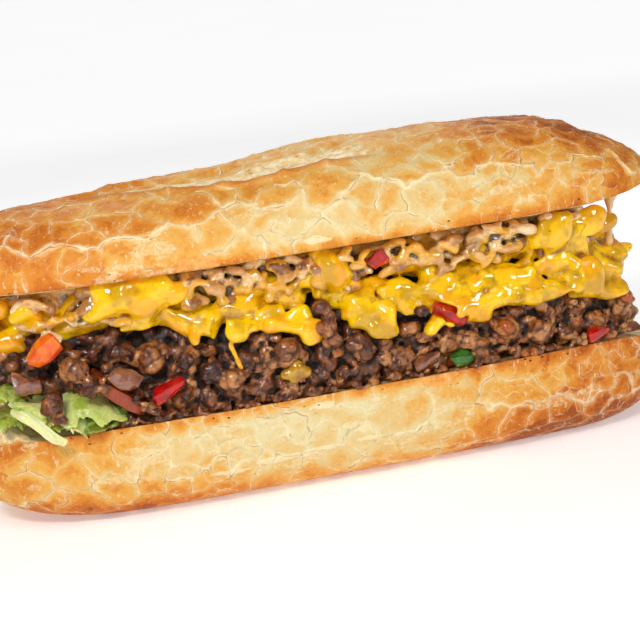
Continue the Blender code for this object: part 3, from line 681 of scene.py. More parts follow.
def make_upper_roll(material):
    x = even_stations(UPPER_TIPS, upper_half_width, ROLL_STATIONS)
    turns, share = upper_turn_rows(x)
    open_share, across, peaks = slash_share(x)[:, None], np.clip(share, 0, 1), ear_peaks(x)
    torn = ((share >= 0) & (share < 1)) * open_share
    row = np.arange(share.shape[1])
    ear_rise = np.exp(-((row - FRONT_ROWS) / 3.5) ** 2) * (share < 0) * open_share
    lift = np.interp(across, *zip(*SLASH_PROFILE)) * torn
    lift = np.where(lift > 0, lift * SLASH_EAR_LIFT * peaks, lift * SLASH_DEPTH)
    lift = lift + SLASH_EAR_LIFT * peaks * ear_rise
    lift = lift + 0.15 * SLASH_DEPTH * open_share * np.exp(-(share - 1) * 9) * (share >= 1)
    crust = upper_crust(x[:, None], turns, lift)
    front_height = np.clip(crust[..., 2] / through(CROWN, x)[:, None], 0, 1)
    detail = crust_detail(crust, front_height, np.random.default_rng(22), 4)
    detail["bold"] = detail["bold"] * (1 - 0.5 * ease(crust[..., 0], 45, 100))
    values = surface_values(crust, detail, front_height, UPPER_BAKE, 4)
    values["crumb"] = torn * ease(across, 0.0, 0.06) * ease(across, 0.8, 0.35)
    values["ear"] = np.clip(ear_rise + torn * ease(across, 0.07, 0.02), 0, 1)
    values["bake"] += CROWN_BAKE * ease(front_height, 0.6, 1.0) * ease(crust[..., 0], -25, 70)
    standing = upper_to_world(crust)
    values["sauce"] = patches(standing, UPPER_SAUCE, 96)
    values["flap"] = patches(standing, UPPER_FLAPS, 99)
    ridges = 1.3 * torn * rough(crust * np.array([0.3, 1.0, 1.0]), 3.4, 4, 90) * ease(across, 0.04, 0.14)
    crust = raised(crust, detail, values, 1.0, torn, ridges)
    cut = upper_cut(x, crust[:, 0, 2])
    ends = [(end, ROLL_HALF_WIDTH, UPPER_TIP_RISE) for end in UPPER_TIPS]
    make_crust("roll_upper", material, crust, cut, values, CUT_VALUES, ends, upper_to_world)


# Distance fields

FAR = 9.0
TINY = 1e-6


class Field:
    """A distance field on a grid, negative inside, that grows by unions and knows which shape is nearest."""

    def __init__(self, low, high, step, adaptivity):
        self.low, self.step, self.adaptivity = np.array(low, float), step, adaptivity
        self.count = np.ceil((np.array(high, float) - self.low) / step).astype(int) + 1
        self.value = np.full(self.count, FAR, np.float32)
        self.owner = np.zeros(self.count, np.int16)

    def window(self, low, high):
        """The grid's slices between two corners, and the places of their points along each axis."""
        first = np.clip(np.floor((np.array(low) - self.low) / self.step).astype(int), 0, self.count)
        last = np.clip(np.ceil((np.array(high) - self.low) / self.step).astype(int) + 1, 0, self.count)
        axes = [self.low[i] + self.step * np.arange(first[i], last[i]) for i in range(3)]
        return tuple(slice(a, b) for a, b in zip(first, last)), *np.ix_(*axes)

    def everywhere(self):
        return self.window(self.low, self.low + self.step * self.count)

    def around(self, centre, reach, turned):
        """The slices within a reach of a centre, and the way to their points along the turned axes."""
        parts, *axes = self.window(centre - reach, centre + reach)
        away = [place - middle for place, middle in zip(axes, centre)]
        return parts, [sum(turned[k, i] * away[k] for k in range(3)) for i in range(3)]

    def where(self, mask):
        """The indexes of the voxels in a mask, and their points."""
        found = np.nonzero(mask)
        return found, self.low + self.step * np.stack(found, axis=-1)

    def add(self, parts, distance, blend=0.0, owner=0):
        self.owner[parts] = np.where(distance < self.value[parts], owner, self.owner[parts])
        self.merge(parts, distance, blend, 1)

    def cut(self, parts, distance, blend=0.0):
        """Takes away what lies inside a shape."""
        self.merge(parts, -distance, blend, -1)

    def merge(self, parts, distance, blend, sign):
        """The lesser of the field and a distance, or the greater where the sign is -1, blended if near."""
        old = self.value[parts]
        if blend:
            share = np.clip(0.5 + sign * 0.5 * (distance - old) / blend, 0, 1)
            self.value[parts] = distance + (old - distance) * share - sign * blend * share * (1 - share)
        else:
            self.value[parts] = np.minimum(old, distance) if sign > 0 else np.maximum(old, distance)

    def capsule(self, start, end, radius, end_radius, blend, owner):
        start, end = np.array(start, float), np.array(end, float)
        reach = max(radius, end_radius) + blend + 2 * self.step
        parts, *axes = self.window(np.minimum(start, end) - reach, np.maximum(start, end) + reach)
        way = end - start
        share = sum((a - s) * w for a, s, w in zip(axes, start, way)) / max(float(way @ way), TINY)
        share = np.clip(share, 0, 1)
        gap = np.sqrt(sum((a - s - share * w) ** 2 for a, s, w in zip(axes, start, way)))
        self.add(parts, gap - radius - (end_radius - radius) * share, blend, owner)

    def lump(self, centre, radii, angles, blend, owner):
        """An ellipsoid with its radii along axes that are turned by angles in radians."""
        centre, radii = np.array(centre, float), np.array(radii, float)
        parts, local = self.around(centre, radii.max() + blend + 2 * self.step, turning(angles))
        near = np.sqrt(sum((a / r) ** 2 for a, r in zip(local, radii)))
        slope = np.sqrt(sum((a / r**2) ** 2 for a, r in zip(local, radii))) + TINY
        self.add(parts, near * (near - 1) / slope, blend, owner)

    def roughen(self, size, reach, octaves, seed):
        """Moves the surface in and out by noise."""
        band, points = self.where(np.abs(self.value) < 2 * self.step + reach)
        self.value[band] += reach * rough(points, size, octaves, seed)

    def smooth(self):
        """Averages each value with its neighbours, which rounds what is smaller than a voxel or two."""
        for axis in range(3):
            ahead, behind = np.roll(self.value, -1, axis), np.roll(self.value, 1, axis)
            self.value = 0.5 * self.value + 0.25 * (ahead + behind)

    def mesh(self, name, reach):
        """The surface as a mesh, with its points, the shape each is on, and its cover within a reach."""
        cover = self.cover(reach)
        for axis in range(3):
            self.value[(slice(None),) * axis + ([0, -1],)] = FAR
        volume = openvdb.FloatGrid(1.0)
        volume.copyFromArray(np.clip(self.value / self.step, -3, 1).astype(np.float32))
        points, triangles, quads = volume.convertToPolygons(isovalue=0.0, adaptivity=self.adaptivity)
        points = points * self.step + self.low
        nearest = tuple(np.clip(np.rint((points - self.low) / self.step).astype(int), 0, self.count - 1).T)
        mesh = new_mesh(name, points, quads[:, ::-1], triangles[:, ::-1])
        return mesh, points, self.owner[nearest], cover[nearest]

    def cover(self, reach):
        """The share of solid near each voxel: over a half in creases, where the materials paint shade, and
        less on what stands out.
        """
        solid = (self.value < 0).astype(np.float32)
        spread = round(reach / self.step)
        for axis in range(3):
            total = np.cumsum(np.insert(solid, 0, 0, axis=axis), axis=axis)
            place, last = np.arange(solid.shape[axis]), solid.shape[axis]
            upper, lower = np.minimum(place + spread + 1, last), np.maximum(place - spread, 0)
            solid = (np.take(total, upper, axis) - np.take(total, lower, axis)) / (2 * spread + 1)
        return solid


def outline_distance(x, y, z, grow):
    """About how far a point lies outside the filling's outline grown by an amount."""
    power = 2 / FILL_POWER
    width, height = np.maximum(fill_half_width(x) + grow, 1.0), fill_height(x) + grow
    across, up = np.abs(y) / width, np.maximum(z - FILL_FLOOR, 0.0) / height
    ratio = (across**power + up**power) ** (1 / power) + TINY
    slope = np.sqrt((across ** (power - 1) / width) ** 2 + (up ** (power - 1) / height) ** 2)
    return (ratio - 1) / np.maximum(slope * ratio ** (1 - power), 1 / 60)


def beyond(offsets, sizes, margin):
    """How far points lie outside each pair of a box's faces, grown by a margin."""
    return [np.abs(offset) - size / 2 - margin for offset, size in zip(offsets, sizes)]


def most(values):
    return np.maximum(np.maximum(values[0], values[1]), values[2])


# Beef

BEEF_SEED, END_FACE_SEED = 11, 12
CRUMB_BLEND = 0.9
CRUMB_FILL = 1.08
CORE_HALF_LENGTH = 102.0
# How many there are on the front and the back
CORE_BITS = {-1: 420, 1: 300}
SMALL_CRUMBS = {-1: 260, 1: 180}
RIM_CRUMBS, RIM_CRUMBS_FROM = 90, {-1: -74, 1: -79}
END_CRUMBS, END_FACE_CRUMBS = 24, 26
END_FACE_HALF_WIDTH = 17.0
END_FACE_LOW, END_FACE_HIGH, END_FACE_FALL = 8.0, 23.0, 7.0
# The numbers that crumbs of each kind start from
CORE_OWNER, CRUMB_OWNER, END_FACE_OWNER, CHEESE_CRUMB_OWNER, FRONT_CRUMB_OWNER = 1, 2, 800, 900, 950
LOBES_OVER_EDGE = 7.0
LOBE_SIZE = 3.9
LOBE_STRETCH = np.array([0.62, 1.0, 1.12])
LOBE_SWELL = 1.35
LOBE_CREASE = 0.15
CREASE_DEPTH = 0.7
LOBE_TURNS = ((0.2, 0.5, 0.3), (0.1, -0.7, 0.6), (0.5, 1.2, 0.2), (0.9, 0.1, -0.4), (0.3, -1.3, 1.0))
# Crumbs that lie on the cheese: x, height above the rim, radius
CRUMBS_ON_CHEESE = (
    (-2.6, 27.4, 3.3), (-1.0, 24.4, 2.6), (-2.4, 21.4, 3.6), (-1.2, 17.2, 3.6), (29.5, 21.5, 2.6),
    (12.0, 36.5, 2.4), (8.0, 37.0, 2.0), (-6.5, 40.0, 2.5),
)
# Crumbs that hang over the salad and the front of the heap: x, y, height above the rim, radius
CRUMBS_IN_FRONT = (
    (-91.0, -33.5, 11.5, 4.6), (-89.5, -34.5, 6.8, 3.2), (-82.5, -34.0, 21.0, 5.0), (-79.0, -34.5, 15.0, 4.2),
    (-73.5, -35.0, 15.5, 3.2), (-61.0, -35.2, 5.2, 3.4), (-65.0, -35.6, 10.0, 2.6), (-34.3, -34.6, 9.5, 4.8),
    (-15.5, -34.2, 15.2, 5.2), (7.9, -34.0, 13.5, 5.4), (57.0, -34.2, 11.0, 5.2), (68.0, -34.5, 8.0, 4.6),
)


def beef_places(draws):
    """(centre, radius) of each large crumb: the same rows and draws as in the solids."""
    places = []
    for side in (-1, 1):
        x = 7 - FILL_HALF_LENGTH
        while x < FILL_HALF_LENGTH - 6:
            low = float(fill_floor(x)) - LOWER_RIM + 1.0
            high = min(float(cheese_edge(x + dx, side)) for dx in (-8, -4, 0, 4, 8)) - 2.2
            rows = max(1, round((high - low) / 9.0))
            for row in range(rows):
                radius = min(6.8, (high - low) / rows * 0.64) * draws.uniform(0.78, 1.0)
                height = low + (high - low) * (row + 0.5) / rows + draws.uniform(-1.0, 0.4)
                at = x + draws.uniform(-2.0, 2.0) + (3.5 if row % 2 else 0)
                y = side_y(side, at, height, CRUMB_REACH - radius + draws.uniform(-1.2, 0.5))
                places.append((np.array([at, y, LOWER_RIM + height]), radius))
            x += draws.uniform(8.0, 9.6)
    for end in (-1, 1):
        for share in (-0.62, -0.2, 0.24, 0.66):
            x = end * (FILL_HALF_LENGTH - 4.5 - 10 * abs(share) ** 2.5)
            z = float(fill_floor(x)) + draws.uniform(3.6, 4.6)
            places.append((np.array([x, share * FILL_HALF_WIDTH * 0.72, z]), draws.uniform(4.4, 5.0)))
    return places


def add_crumb(field, centre, radius, owner, draws):
    """A nugget of minced beef: a long lump with two or three smaller ones against it."""
    stretch = np.array([draws.uniform(1.0, 1.35), draws.uniform(0.8, 1.0), draws.uniform(0.72, 1.0)])
    angles = (draws.uniform(-0.4, 0.4), draws.uniform(-0.9, 0.9), draws.uniform(-0.5, 0.5))
    field.lump(centre, radius * 0.86 * stretch, angles, CRUMB_BLEND, owner)
    turned = turning(angles)
    for _ in range(draws.randint(2, 4) if radius > 2.4 else 0):
        way = np.array([draws.gauss(0, 1), draws.gauss(0, 0.8), draws.gauss(0, 1)])
        way = way / (np.linalg.norm(way) + TINY)
        size = radius * draws.uniform(0.36, 0.55)
        at = centre + turned @ (way * stretch * (radius - size))
        angles = [draws.uniform(-3, 3) for _ in range(3)]
        field.lump(at, (size * 1.2, size, size * 0.95), angles, CRUMB_BLEND, owner)


def lobes(points, owner):
    """(how far lobes swell, how deep their creases are, number of the lobe), with a grain for each crumb."""
    swell, crease, number = (np.zeros(len(points)) for _ in range(3))
    for way, angles in enumerate(LOBE_TURNS):
        mine = np.nonzero(owner % len(LOBE_TURNS) == way)[0]
        here = points[mine] + 5.0 * owner[mine, None] + 0.6 * noise(points[mine], 4.0, 9)[:, None]
        here = here @ turning(angles) * LOBE_STRETCH
        near, far, number[mine] = cells(here, LOBE_SIZE, 3)
        small_near, small_far, _ = cells(here, 0.46 * LOBE_SIZE, 5)
        gap = np.exp(-((far - near) / LOBE_CREASE) ** 1.5)
        small_gap = np.exp(-((small_far - small_near) / 0.2) ** 1.5)
        swell[mine] = LOBE_SWELL * (0.5 - near) + 0.16 * LOBE_SWELL * (0.5 - small_near)
        crease[mine] = gap + 0.14 * small_gap * (1 - gap)
    return swell, crease, number


def ripple(field):
    """Swells and creases the heap's surface into lobes."""
    _, x, y, z = field.everywhere()
    shown = (z < LOWER_RIM + cheese_edge(x, y) + LOBES_OVER_EDGE) | (np.abs(x) > CORE_HALF_LENGTH - 4)
    band, points = field.where((np.abs(field.value) < 2.4) & shown)
    swell, crease, _ = lobes(points, field.owner[band])
    strength = np.where(field.owner[band] == CORE_OWNER, 0.7, 1.0)
    field.value[band] += strength * (CREASE_DEPTH * crease - swell)


def make_beef(material):
    draws = random.Random(BEEF_SEED)
    field = Field((-119, -41, LOWER_RIM - 1.6), (119, 41, LOWER_RIM + 37), *BEEF_MESH)
    everywhere, x, y, z = field.everywhere()
    core = outline_distance(x, y, z, -CORE_INSET - 0.9)
    core = np.maximum(core, np.maximum(fill_floor(x) - z, np.abs(x) - CORE_HALF_LENGTH))
    field.add(everywhere, core, owner=CORE_OWNER)
    places = beef_places(draws)
    add_core_bits(field, draws)
    for number, (centre, radius) in enumerate(places, CRUMB_OWNER):
        centre = centre - np.array([0.0, draws.uniform(0.0, 2.2) * np.sign(centre[1]), 0.0])
        add_crumb(field, centre, radius * CRUMB_FILL, number, draws)
    add_small_crumbs(field, len(places) + CRUMB_OWNER, draws)
    add_end_face(field)
    for number, (at, height, radius) in enumerate(CRUMBS_ON_CHEESE, CHEESE_CRUMB_OWNER):
        front = max(side_y(-1, at, height, CHEESE_CLEARANCE + CHEESE_THICKNESS + 0.4 * radius), radius - 39.0)
        add_crumb(field, np.array([at, front, LOWER_RIM + height]), radius, number, draws)
    for slice_place in TOMATOES:
        cut_slice(field, slice_place)
    for number, (at, front, height, radius) in enumerate(CRUMBS_IN_FRONT, FRONT_CRUMB_OWNER):
        add_crumb(field, np.array([at, front, LOWER_RIM + height]), radius, number, draws)
    ripple(field)
    field.cut(everywhere, z - (LOWER_RIM - 0.35))
    cut_toppings(field, 0.5)
    # crease, fold and heap mark where the material paints shade: creases between crumbs, creases between
    # lobes, and the core behind the crumbs
    mesh, points, owner, crease = field.mesh("beef_crumbs", 2.4)
    _, fold, lobe = lobes(points, owner)
    tone = 0.55 * chance(owner, 0.3) + 0.45 * chance(lobe, 0.6) - 0.13 * ease(points[:, 0], -12, -40)
    tone += 0.12 * ease(points[:, 0], 30, 62)
    heap = (owner == CORE_OWNER).astype(float)
    values = {"crease": crease, "fold": fold, "tone": tone, "heap": heap}
    new_piece("beef_crumbs", mesh, material, "beef", "chopped_beef", **values)


def cut_slice(field, slice_place):
    """Leaves room for a tomato slice and clears what would hide it from the front."""
    _, centre, radius, thickness, degrees = slice_place
    centre, turned = placed(centre, degrees)
    parts, (u, v, w) = field.around(centre, np.array([radius + 3, 16, radius + 3]), turned)
    disc = np.sqrt(u**2 + np.maximum(v, 0.0) ** 2) - radius - 0.4
    field.cut(parts, np.maximum(disc, np.abs(w) - thickness / 2 - 0.3), 0.4)


def add_core_bits(field, draws):
    """Small lumps over the core behind the crumbs; the material paints them and the core near black as shade.
    """
    for side, count in CORE_BITS.items():
        for _ in range(count):
            x = draws.uniform(-CORE_HALF_LENGTH, CORE_HALF_LENGTH)
            height = draws.uniform(float(fill_floor(x)) - LOWER_RIM, float(cheese_edge(x, side)) + 4)
            y = side_y(side, x, height, -CORE_INSET - draws.uniform(1.2, 2.8))
            at = np.array([x, y, LOWER_RIM + height])
            size = draws.uniform(1.6, 2.8)
            along = np.array([draws.uniform(-1.5, 1.5), 0.0, draws.uniform(-1.2, 1.2)])
            field.capsule(at - along, at + along, size, size * draws.uniform(0.7, 1.0), 0.3, CORE_OWNER)


def add_small_crumbs(field, number, draws):
    """Loose bits in the gaps between the large crumbs, on both sides and at the ends, numbered onwards."""
    for side, count in SMALL_CRUMBS.items():
        for number in range(number, number + count):
            x = draws.uniform(-107, 101)
            low, high = float(fill_floor(x)) - LOWER_RIM + 0.8, float(cheese_edge(x, side)) + 1.5
            height, radius = draws.uniform(low, high), draws.uniform(2.1, 4.0)
            y = side_y(side, x, height, draws.uniform(-3.0, 1.0) - 0.4 * radius)
            add_crumb(field, np.array([x, y, LOWER_RIM + height]), radius, number, draws)
        for number in range(number + 1, number + 1 + RIM_CRUMBS):
            x, radius = draws.uniform(RIM_CRUMBS_FROM[side], 106), draws.uniform(1.5, 2.6)
            y = side * (half_width(x) * 0.945 - draws.uniform(0.4, 2.2))
            add_crumb(field, np.array([x, y, LOWER_RIM + draws.uniform(0.3, 1.8)]), radius, number, draws)
        number += 1
    for end in (-1, 1):
        for number in range(number, number + END_CRUMBS):
            x = end * (CORE_HALF_LENGTH - 1.0 + draws.uniform(-1.5, 1.5))
            z = float(fill_floor(x)) + draws.uniform(2.0, 12.0)
            add_crumb(field, np.array([x, draws.uniform(-23, 23), z]), draws.uniform(2.8, 4.0), number, draws)
        number += 1


def add_end_face(field):
    """Crumbs over the heap's two end faces, higher up, where the cheese leaves them open."""
    draws = random.Random(END_FACE_SEED)
    for number in range(2 * END_FACE_CRUMBS):
        end = 1 if number % 2 else -1
        y = draws.uniform(-END_FACE_HALF_WIDTH, END_FACE_HALF_WIDTH)
        x = end * (CORE_HALF_LENGTH + draws.uniform(-1.6, 0.8))
        top = END_FACE_HIGH - END_FACE_FALL * (y / END_FACE_HALF_WIDTH) ** 2
        z = float(fill_floor(x)) + draws.uniform(END_FACE_LOW, top)
        add_crumb(field, np.array([x, y, z]), draws.uniform(2.6, 3.8), END_FACE_OWNER + number, draws)


# Strips of pepper and onion
# Name, kind, centre with its height above the rim, (length, width, thickness), bend and degrees of turn
TOPPINGS = (
    ("pepper_orange_front", "pepper_orange", (-91, -31.5, 28.5), (11, 7, 4.2), 0.5, (60, -38, 0)),
    ("pepper_red_front_left", "pepper_red", (-54.5, -34.0, 10.0), (11, 5, 3.4), 0.4, (70, -22, 0)),
    ("pepper_red_front_middle", "pepper_red", (38.5, -34.3, 19.0), (12, 4.6, 3.2), 0.5, (70, 30, 0)),
    ("pepper_red_front_top", "pepper_red", (17, -31.0, 40.0), (6, 4.5, 4.5), 0.2, (50, -30, 0)),
    ("pepper_red_front_right", "pepper_red", (89, -31.8, 3.2), (7, 4, 3), 0.3, (60, -10, 0)),
    ("pepper_green_front", "pepper_green", (41, -34.0, 3.4), (6.5, 5, 3), 0.4, (60, -8, 0)),
    ("pepper_red_back_left", "pepper_red", (-30, 33.5, 8.5), (12, 5, 3.2), 0.4, (-70, 20, 0)),
    ("pepper_orange_back", "pepper_orange", (47, 33.5, 9.5), (10, 6, 3.6), 0.4, (-65, -30, 0)),
    ("pepper_green_back", "pepper_green", (10, 34.0, 5.5), (8, 5, 3), 0.4, (-60, 12, 0)),
    ("onion_petal_front_left", "onion", (-67.6, -35.2, 16.0), (9, 7, 2.4), 0.6, (75, 40, 0)),
    ("onion_piece_front_left", "onion", (-97.5, -29.5, 18.0), (8, 6.5, 3.2), 0.4, (65, 5, 0)),
    ("onion_petal_front_middle", "onion", (29.5, -34.2, 4.6), (9, 3.6, 2.2), 0.4, (70, -22, 0)),
    ("onion_petal_back", "onion", (-62, 33.6, 15.5), (10, 6, 2.4), 0.5, (-70, 25, 0)),
)
CUT_EDGE_ANGLE = math.radians(38)
TOPPING_GRID = (26, 36)


def cut_toppings(field, clearance, lowest=0.0):
    """Leaves room in a field for the toppings whose centres are above a height."""
    for _, _, centre, size, bend, degrees in TOPPINGS:
        if centre[2] > lowest:
            centre, turned = placed(centre, degrees)
            parts, (u, v, w) = field.around(centre, size[0] / 2 + clearance + 2, turned)
            w = w + bend * u**2 / (2 * size[0])
            field.cut(parts, most(beyond((u, v, w), size, clearance)), 0.3)


def strip_points(size, bend, rows, columns, seed):
    """Rings and skin of a cut piece of curved wall, which the seed tapers, slants and twists."""
    length, width, thickness = size
    taper, shear, twist = (chance(seed, k) - 0.5 for k in (0.1, 0.2, 0.3))
    along = np.linspace(-1, 1, rows)[:, None]
    turn = (np.arange(columns) * 2 * math.pi / columns)[None, :]
    close = oval(along * 0.999, 12.0)
    across = signed_power(np.cos(turn), 0.26)
    waist = 0.94 + 0.4 * taper * along + 0.1 * np.sin(2.6 * along + 9 * taper)
    y = across * width / 2 * close * waist
    thick = signed_power(np.sin(turn), 0.26) * thickness / 2 * close * (0.7 + 0.1 * np.cos(3 * along + seed))
    thick = thick - 0.7 * thickness * (np.abs(across - 0.3 * taper) ** 1.5 - 0.45)
    angle = 1.1 * twist * along
    y, thick = y * np.cos(angle) - thick * np.sin(angle), y * np.sin(angle) + thick * np.cos(angle)
    arc = along * length / 2 + 0.7 * shear * y
    x = arc + thick * np.sin(bend * arc / length)
    points = grid(x, y, thick * np.cos(bend * arc / length) - bend * arc**2 / (2 * length))
    points[..., 1] += 0.3 * noise(points, 2.4, seed)
    points[..., 2] += 0.35 * noise(points, 2.8, seed + 3)
    skin = np.sin(turn) * ease(np.abs(across), 1.0, 0.9) * ease(np.abs(along), 1.0, 0.95)
    return points, skin


def make_cut(name, rings, ends, centre, degrees, material, slot, **values):
    """A cut piece of a vegetable in its place, with sharp edges and one value round its rings."""
    centre, turned = placed(centre, degrees)
    mesh = closed_mesh(name + "_cut", rings, ends, lambda points: points @ turned.T + centre)
    mesh.set_sharp_from_angle(angle=CUT_EDGE_ANGLE)
    values = {key: np.concatenate([numbers.ravel(), [0, 0]]) for key, numbers in values.items()}
    new_piece(name + "_cut", mesh, material, slot, name, **values)


def make_toppings(materials):
    for number, (name, kind, centre, size, bend, degrees) in enumerate(TOPPINGS):
        rings, skin = strip_points(size, bend, *TOPPING_GRID, 200 + 7 * number)
        ends = [rings[0].mean(axis=0), rings[-1].mean(axis=0)]
        make_cut(name, rings, ends, centre, degrees, materials[kind], kind, skin=skin)


# Cheese

# Large blobs on the front: x, height above the rim, how far out, half sizes along X, Y and Z, turn about Y
CHEESE_LUMPS = (
    (-108, 37, 0.6, (4.0, 2.8, 4.6), 0.2), (-103, 41, 0.4, (4.6, 2.8, 3.4), -0.3),
    (-61, 44.2, 1.2, (4.2, 3.0, 3.0), 0.2), (-70, 43.2, 0.6, (4.4, 2.6, 3.0), -0.4),
    (-54, 42.5, 1.0, (5.4, 3.0, 3.6), 0.3), (-59, 38.0, 1.6, (6.4, 3.2, 4.0), -0.2),
    (-47, 39.5, 0.8, (4.4, 2.6, 3.2), 0.5), (0.5, 43.0, 0.4, (2.8, 2.4, 3.6), 0.2),
    (5.5, 35.5, 1.4, (4.6, 2.8, 5.0), 0.6), (-1.5, 34.0, 1.2, (3.6, 2.8, 5.6), 0.2),
    (73.5, 38.5, -0.6, (2.4, 2.2, 6.0), -0.4), (96, 36, -0.8, (9.0, 2.4, 4.6), 0.1),
    (84, 35.0, -0.4, (10.0, 2.4, 5.6), -0.2), (91, 39.0, -1.2, (9.0, 2.0, 4.6), 0.2),
    (-104, 33, 0.8, (4.5, 2.8, 5), 0.2), (-96, 39.0, 1.0, (4.4, 2.8, 2.8), 0.5),
    (-92.5, 36.4, 1.2, (3.4, 2.6, 3.6), -0.4), (-97.5, 34.0, 1.0, (3.6, 2.6, 3.4), 0.3),
    (-90, 33.0, 0.9, (3.6, 2.4, 2.4), -0.2), (-84, 35, 1.2, (6, 2.8, 2.8), -0.5),
    (-76, 32, 1.2, (5, 2.8, 3), 0.3), (-66, 33.6, 2.2, (9.0, 3.4, 4.2), -0.3),
    (-64.3, 41.6, 1.8, (3.8, 3.4, 3.8), 0.0), (-72, 38, 1.0, (5.5, 2.8, 3.2), 0.5),
    (-56, 37, 1.4, (5, 3, 3.6), 0.4), (-51, 31, 1.6, (5, 2.8, 3.4), -0.4),
    (-44, 34, 1.6, (5.4, 3.0, 3.8), 0.3), (-39, 28, 1.4, (4.4, 2.8, 4.4), 0.7),
    (-28.4, 30.6, 2.4, (8.0, 3.6, 6.4), -0.25), (-19, 36, 1.2, (6, 2.8, 3.2), 0.2),
    (-13.5, 31.6, 2.2, (7.2, 3.4, 4.4), -0.3), (-18, 24, 1.6, (4.6, 2.8, 2.8), 0.3),
    (-9, 25, 1.4, (3.6, 2.6, 4), -0.2), (4.7, 30.0, 1.8, (7, 3.0, 5.0), 0.5),
    (2.5, 38, 1.0, (3.6, 2.8, 5.6), 0.25), (10, 24.5, 1.8, (5.4, 3.0, 3.6), -0.5),
    (17.8, 20.5, 2.4, (3.6, 3.6, 5.6), -0.12), (16, 30, 1.4, (5, 3, 3.6), 0.4),
    (25, 28, 1.8, (6, 3.2, 4), -0.35), (26, 36, 1.0, (6, 2.6, 3), 0.2),
    (37, 27.5, 2.2, (6.4, 3.4, 4.8), 0.2), (45, 34, 1.2, (6.5, 3, 3.6), -0.1),
    (48, 25, 1.6, (4.4, 3.0, 4), 0.3), (58, 31.5, 1.6, (6, 3, 3.6), 0.15),
    (62, 25.5, 2.2, (9, 3.2, 3.8), -0.2), (73, 21.0, 2.0, (4.6, 2.8, 2.4), 0.35),
    (69, 36, 1.0, (5, 2.8, 3.4), 0.3), (79, 31.5, 2.2, (8, 3.6, 4.4), -0.1),
    (84, 25, 1.4, (3.6, 2.6, 4), 0.5), (90, 21, 2.6, (5.2, 4.2, 7.2), 0.0),
    (92, 31, 1.6, (6, 3.4, 4.2), 0.25), (100, 15, 1.0, (4, 3.0, 3), 0.1), (102, 25, 1.0, (5, 3.2, 4), 0.2),
    (97, 22, 1.4, (3, 2.8, 4), 0.0),
)
# Lower down on the beef: small clusters of lumps with cheese over them
CHEESE_SPLASHES = (
    (-17.0, 8.4, 0.7, (2.6, 2.2, 2.2), 0.2), (-13.6, 10.0, 0.8, (2.8, 2.4, 2.6), -0.4),
    (-10.8, 8.0, 0.5, (2.4, 2.0, 1.8), 0.6), (-14.6, 6.0, 0.5, (2.4, 2.0, 1.6), 0.3),
)
# Where it reaches up to the upper half, over the onions
CHEESE_HIGH = ((-68, -55), (-3, 9), (76, 104))
CURTAIN_TOP, CURTAIN_THICKNESS = 44.0, 1.7
CURTAIN_IN, CURTAIN_OUT = 24, 36
CHEESE_SEED = 77
# How many there are on the front and the back
CHEESE_DRAWN, CHEESE_ROPES = {-1: 84, 1: 150}, 7
CHEESE_LEAN = 0.45
CHEESE_COAT = (-0.9, 4.0)
CHEESE_COAT_WAVE = 8.0
CHEESE_CREASE = 1.15
CHEESE_REACH = 39.1
# The numbers of the coat and of the first lump of each kind
COAT_OWNER, LUMP_OWNER, SPLASH_OWNER, DRAWN_OWNER = 1, 2, 60, 100
# The two ends of a drip in front of the beef: x, height above the rim, how far out
DRIP = ((-33.4, 21, 3.6), (-31.0, 12.5, 2.6))


def cheese_coat(field):
    """A thin coat over the beef, uneven and with holes, that ends in a ragged lower edge."""
    _, x, y, z = field.everywhere()
    out = outline_distance(x, y, z, CHEESE_CLEARANCE)
    edge = cheese_edge(x, y) + LOWER_RIM + 3.0
    below = np.maximum(edge - z, np.abs(x) - (FILL_HALF_LENGTH - 4))
    near, points = field.where((np.abs(out) < 6) & (below < 6))
    uneven = ease(rough(points, CHEESE_COAT_WAVE, 3, 31), -0.75, 0.75)
    thick = CHEESE_COAT[0] + (CHEESE_COAT[1] - CHEESE_COAT[0]) * uneven
    sheet = np.maximum(out[near] - thick, -out[near] - 0.9)
    sheet = np.maximum(sheet, below[near] + 1.6 * rough(points, 5.0, 3, 36))
    field.value[near] = np.minimum(field.value[near], sheet)
    field.owner[near] = COAT_OWNER


def cheese_curtains(field):
    """Ragged sheets in front of the onions, where the cheese reaches the upper half."""
    for side in (-1, 1):
        front, back = sorted((side * CURTAIN_IN, side * CURTAIN_OUT))
        for start, end in CHEESE_HIGH:
            low, high = (start - 4, front, LOWER_RIM + 30), (end + 4, back, LOWER_RIM + 47)
            parts, x, y, z = field.window(low, high)
            uneven = rough(grid(x, y, z), 7.0, 3, 51)
            edge = np.maximum(np.maximum(start - x, x - end), z - LOWER_RIM - CURTAIN_TOP) + 3.0 * uneven
            sheet = np.abs(np.abs(y) - onion_face(x, 1.0) - 0.7 * uneven)
            sheet = sheet - CURTAIN_THICKNESS * (1 + 0.6 * uneven)
            field.add(parts, np.maximum(sheet, edge), 1.2, COAT_OWNER)


def cheese_out(x, height, proud):
    """How far out cheese lies at a place: over the beef, or higher up over the onions."""
    over_beef = -side_y(-1, x, height, CHEESE_CLEARANCE + proud)
    over_onions = onion_face(x, 2.2 + 0.6 * proud)
    return over_beef + max(0.0, over_onions - over_beef) * float(ease(height, 33.0, 38.0))


def cheese_lump(field, side, place, owner):
    x, height, proud, radii, angle = place
    y = side * min(cheese_out(x, height, proud), CHEESE_REACH - radii[1])
    blend = CHEESE_CREASE + 1.5 * float(ease(height, 32.0, 37.0))
    field.lump((x, y, LOWER_RIM + height), radii, (0, -angle, 0), blend, owner)


def drawn_lump(side, draws):
    """A random blob or fold of cheese above the lower edge."""
    x = draws.uniform(-106, 106)
    high = any(start < x < end for start, end in CHEESE_HIGH)
    height = draws.uniform(float(cheese_edge(x, side)) + 0.5, 44.0 if high else 36.0)
    long, flat = draws.uniform(3.4, 9.0), draws.uniform(2.2, 4.4)
    proud = draws.uniform(0.8, 2.2)
    return x, height, proud, (long, draws.uniform(1.8, 2.8), flat), draws.gauss(0.0, CHEESE_LEAN)


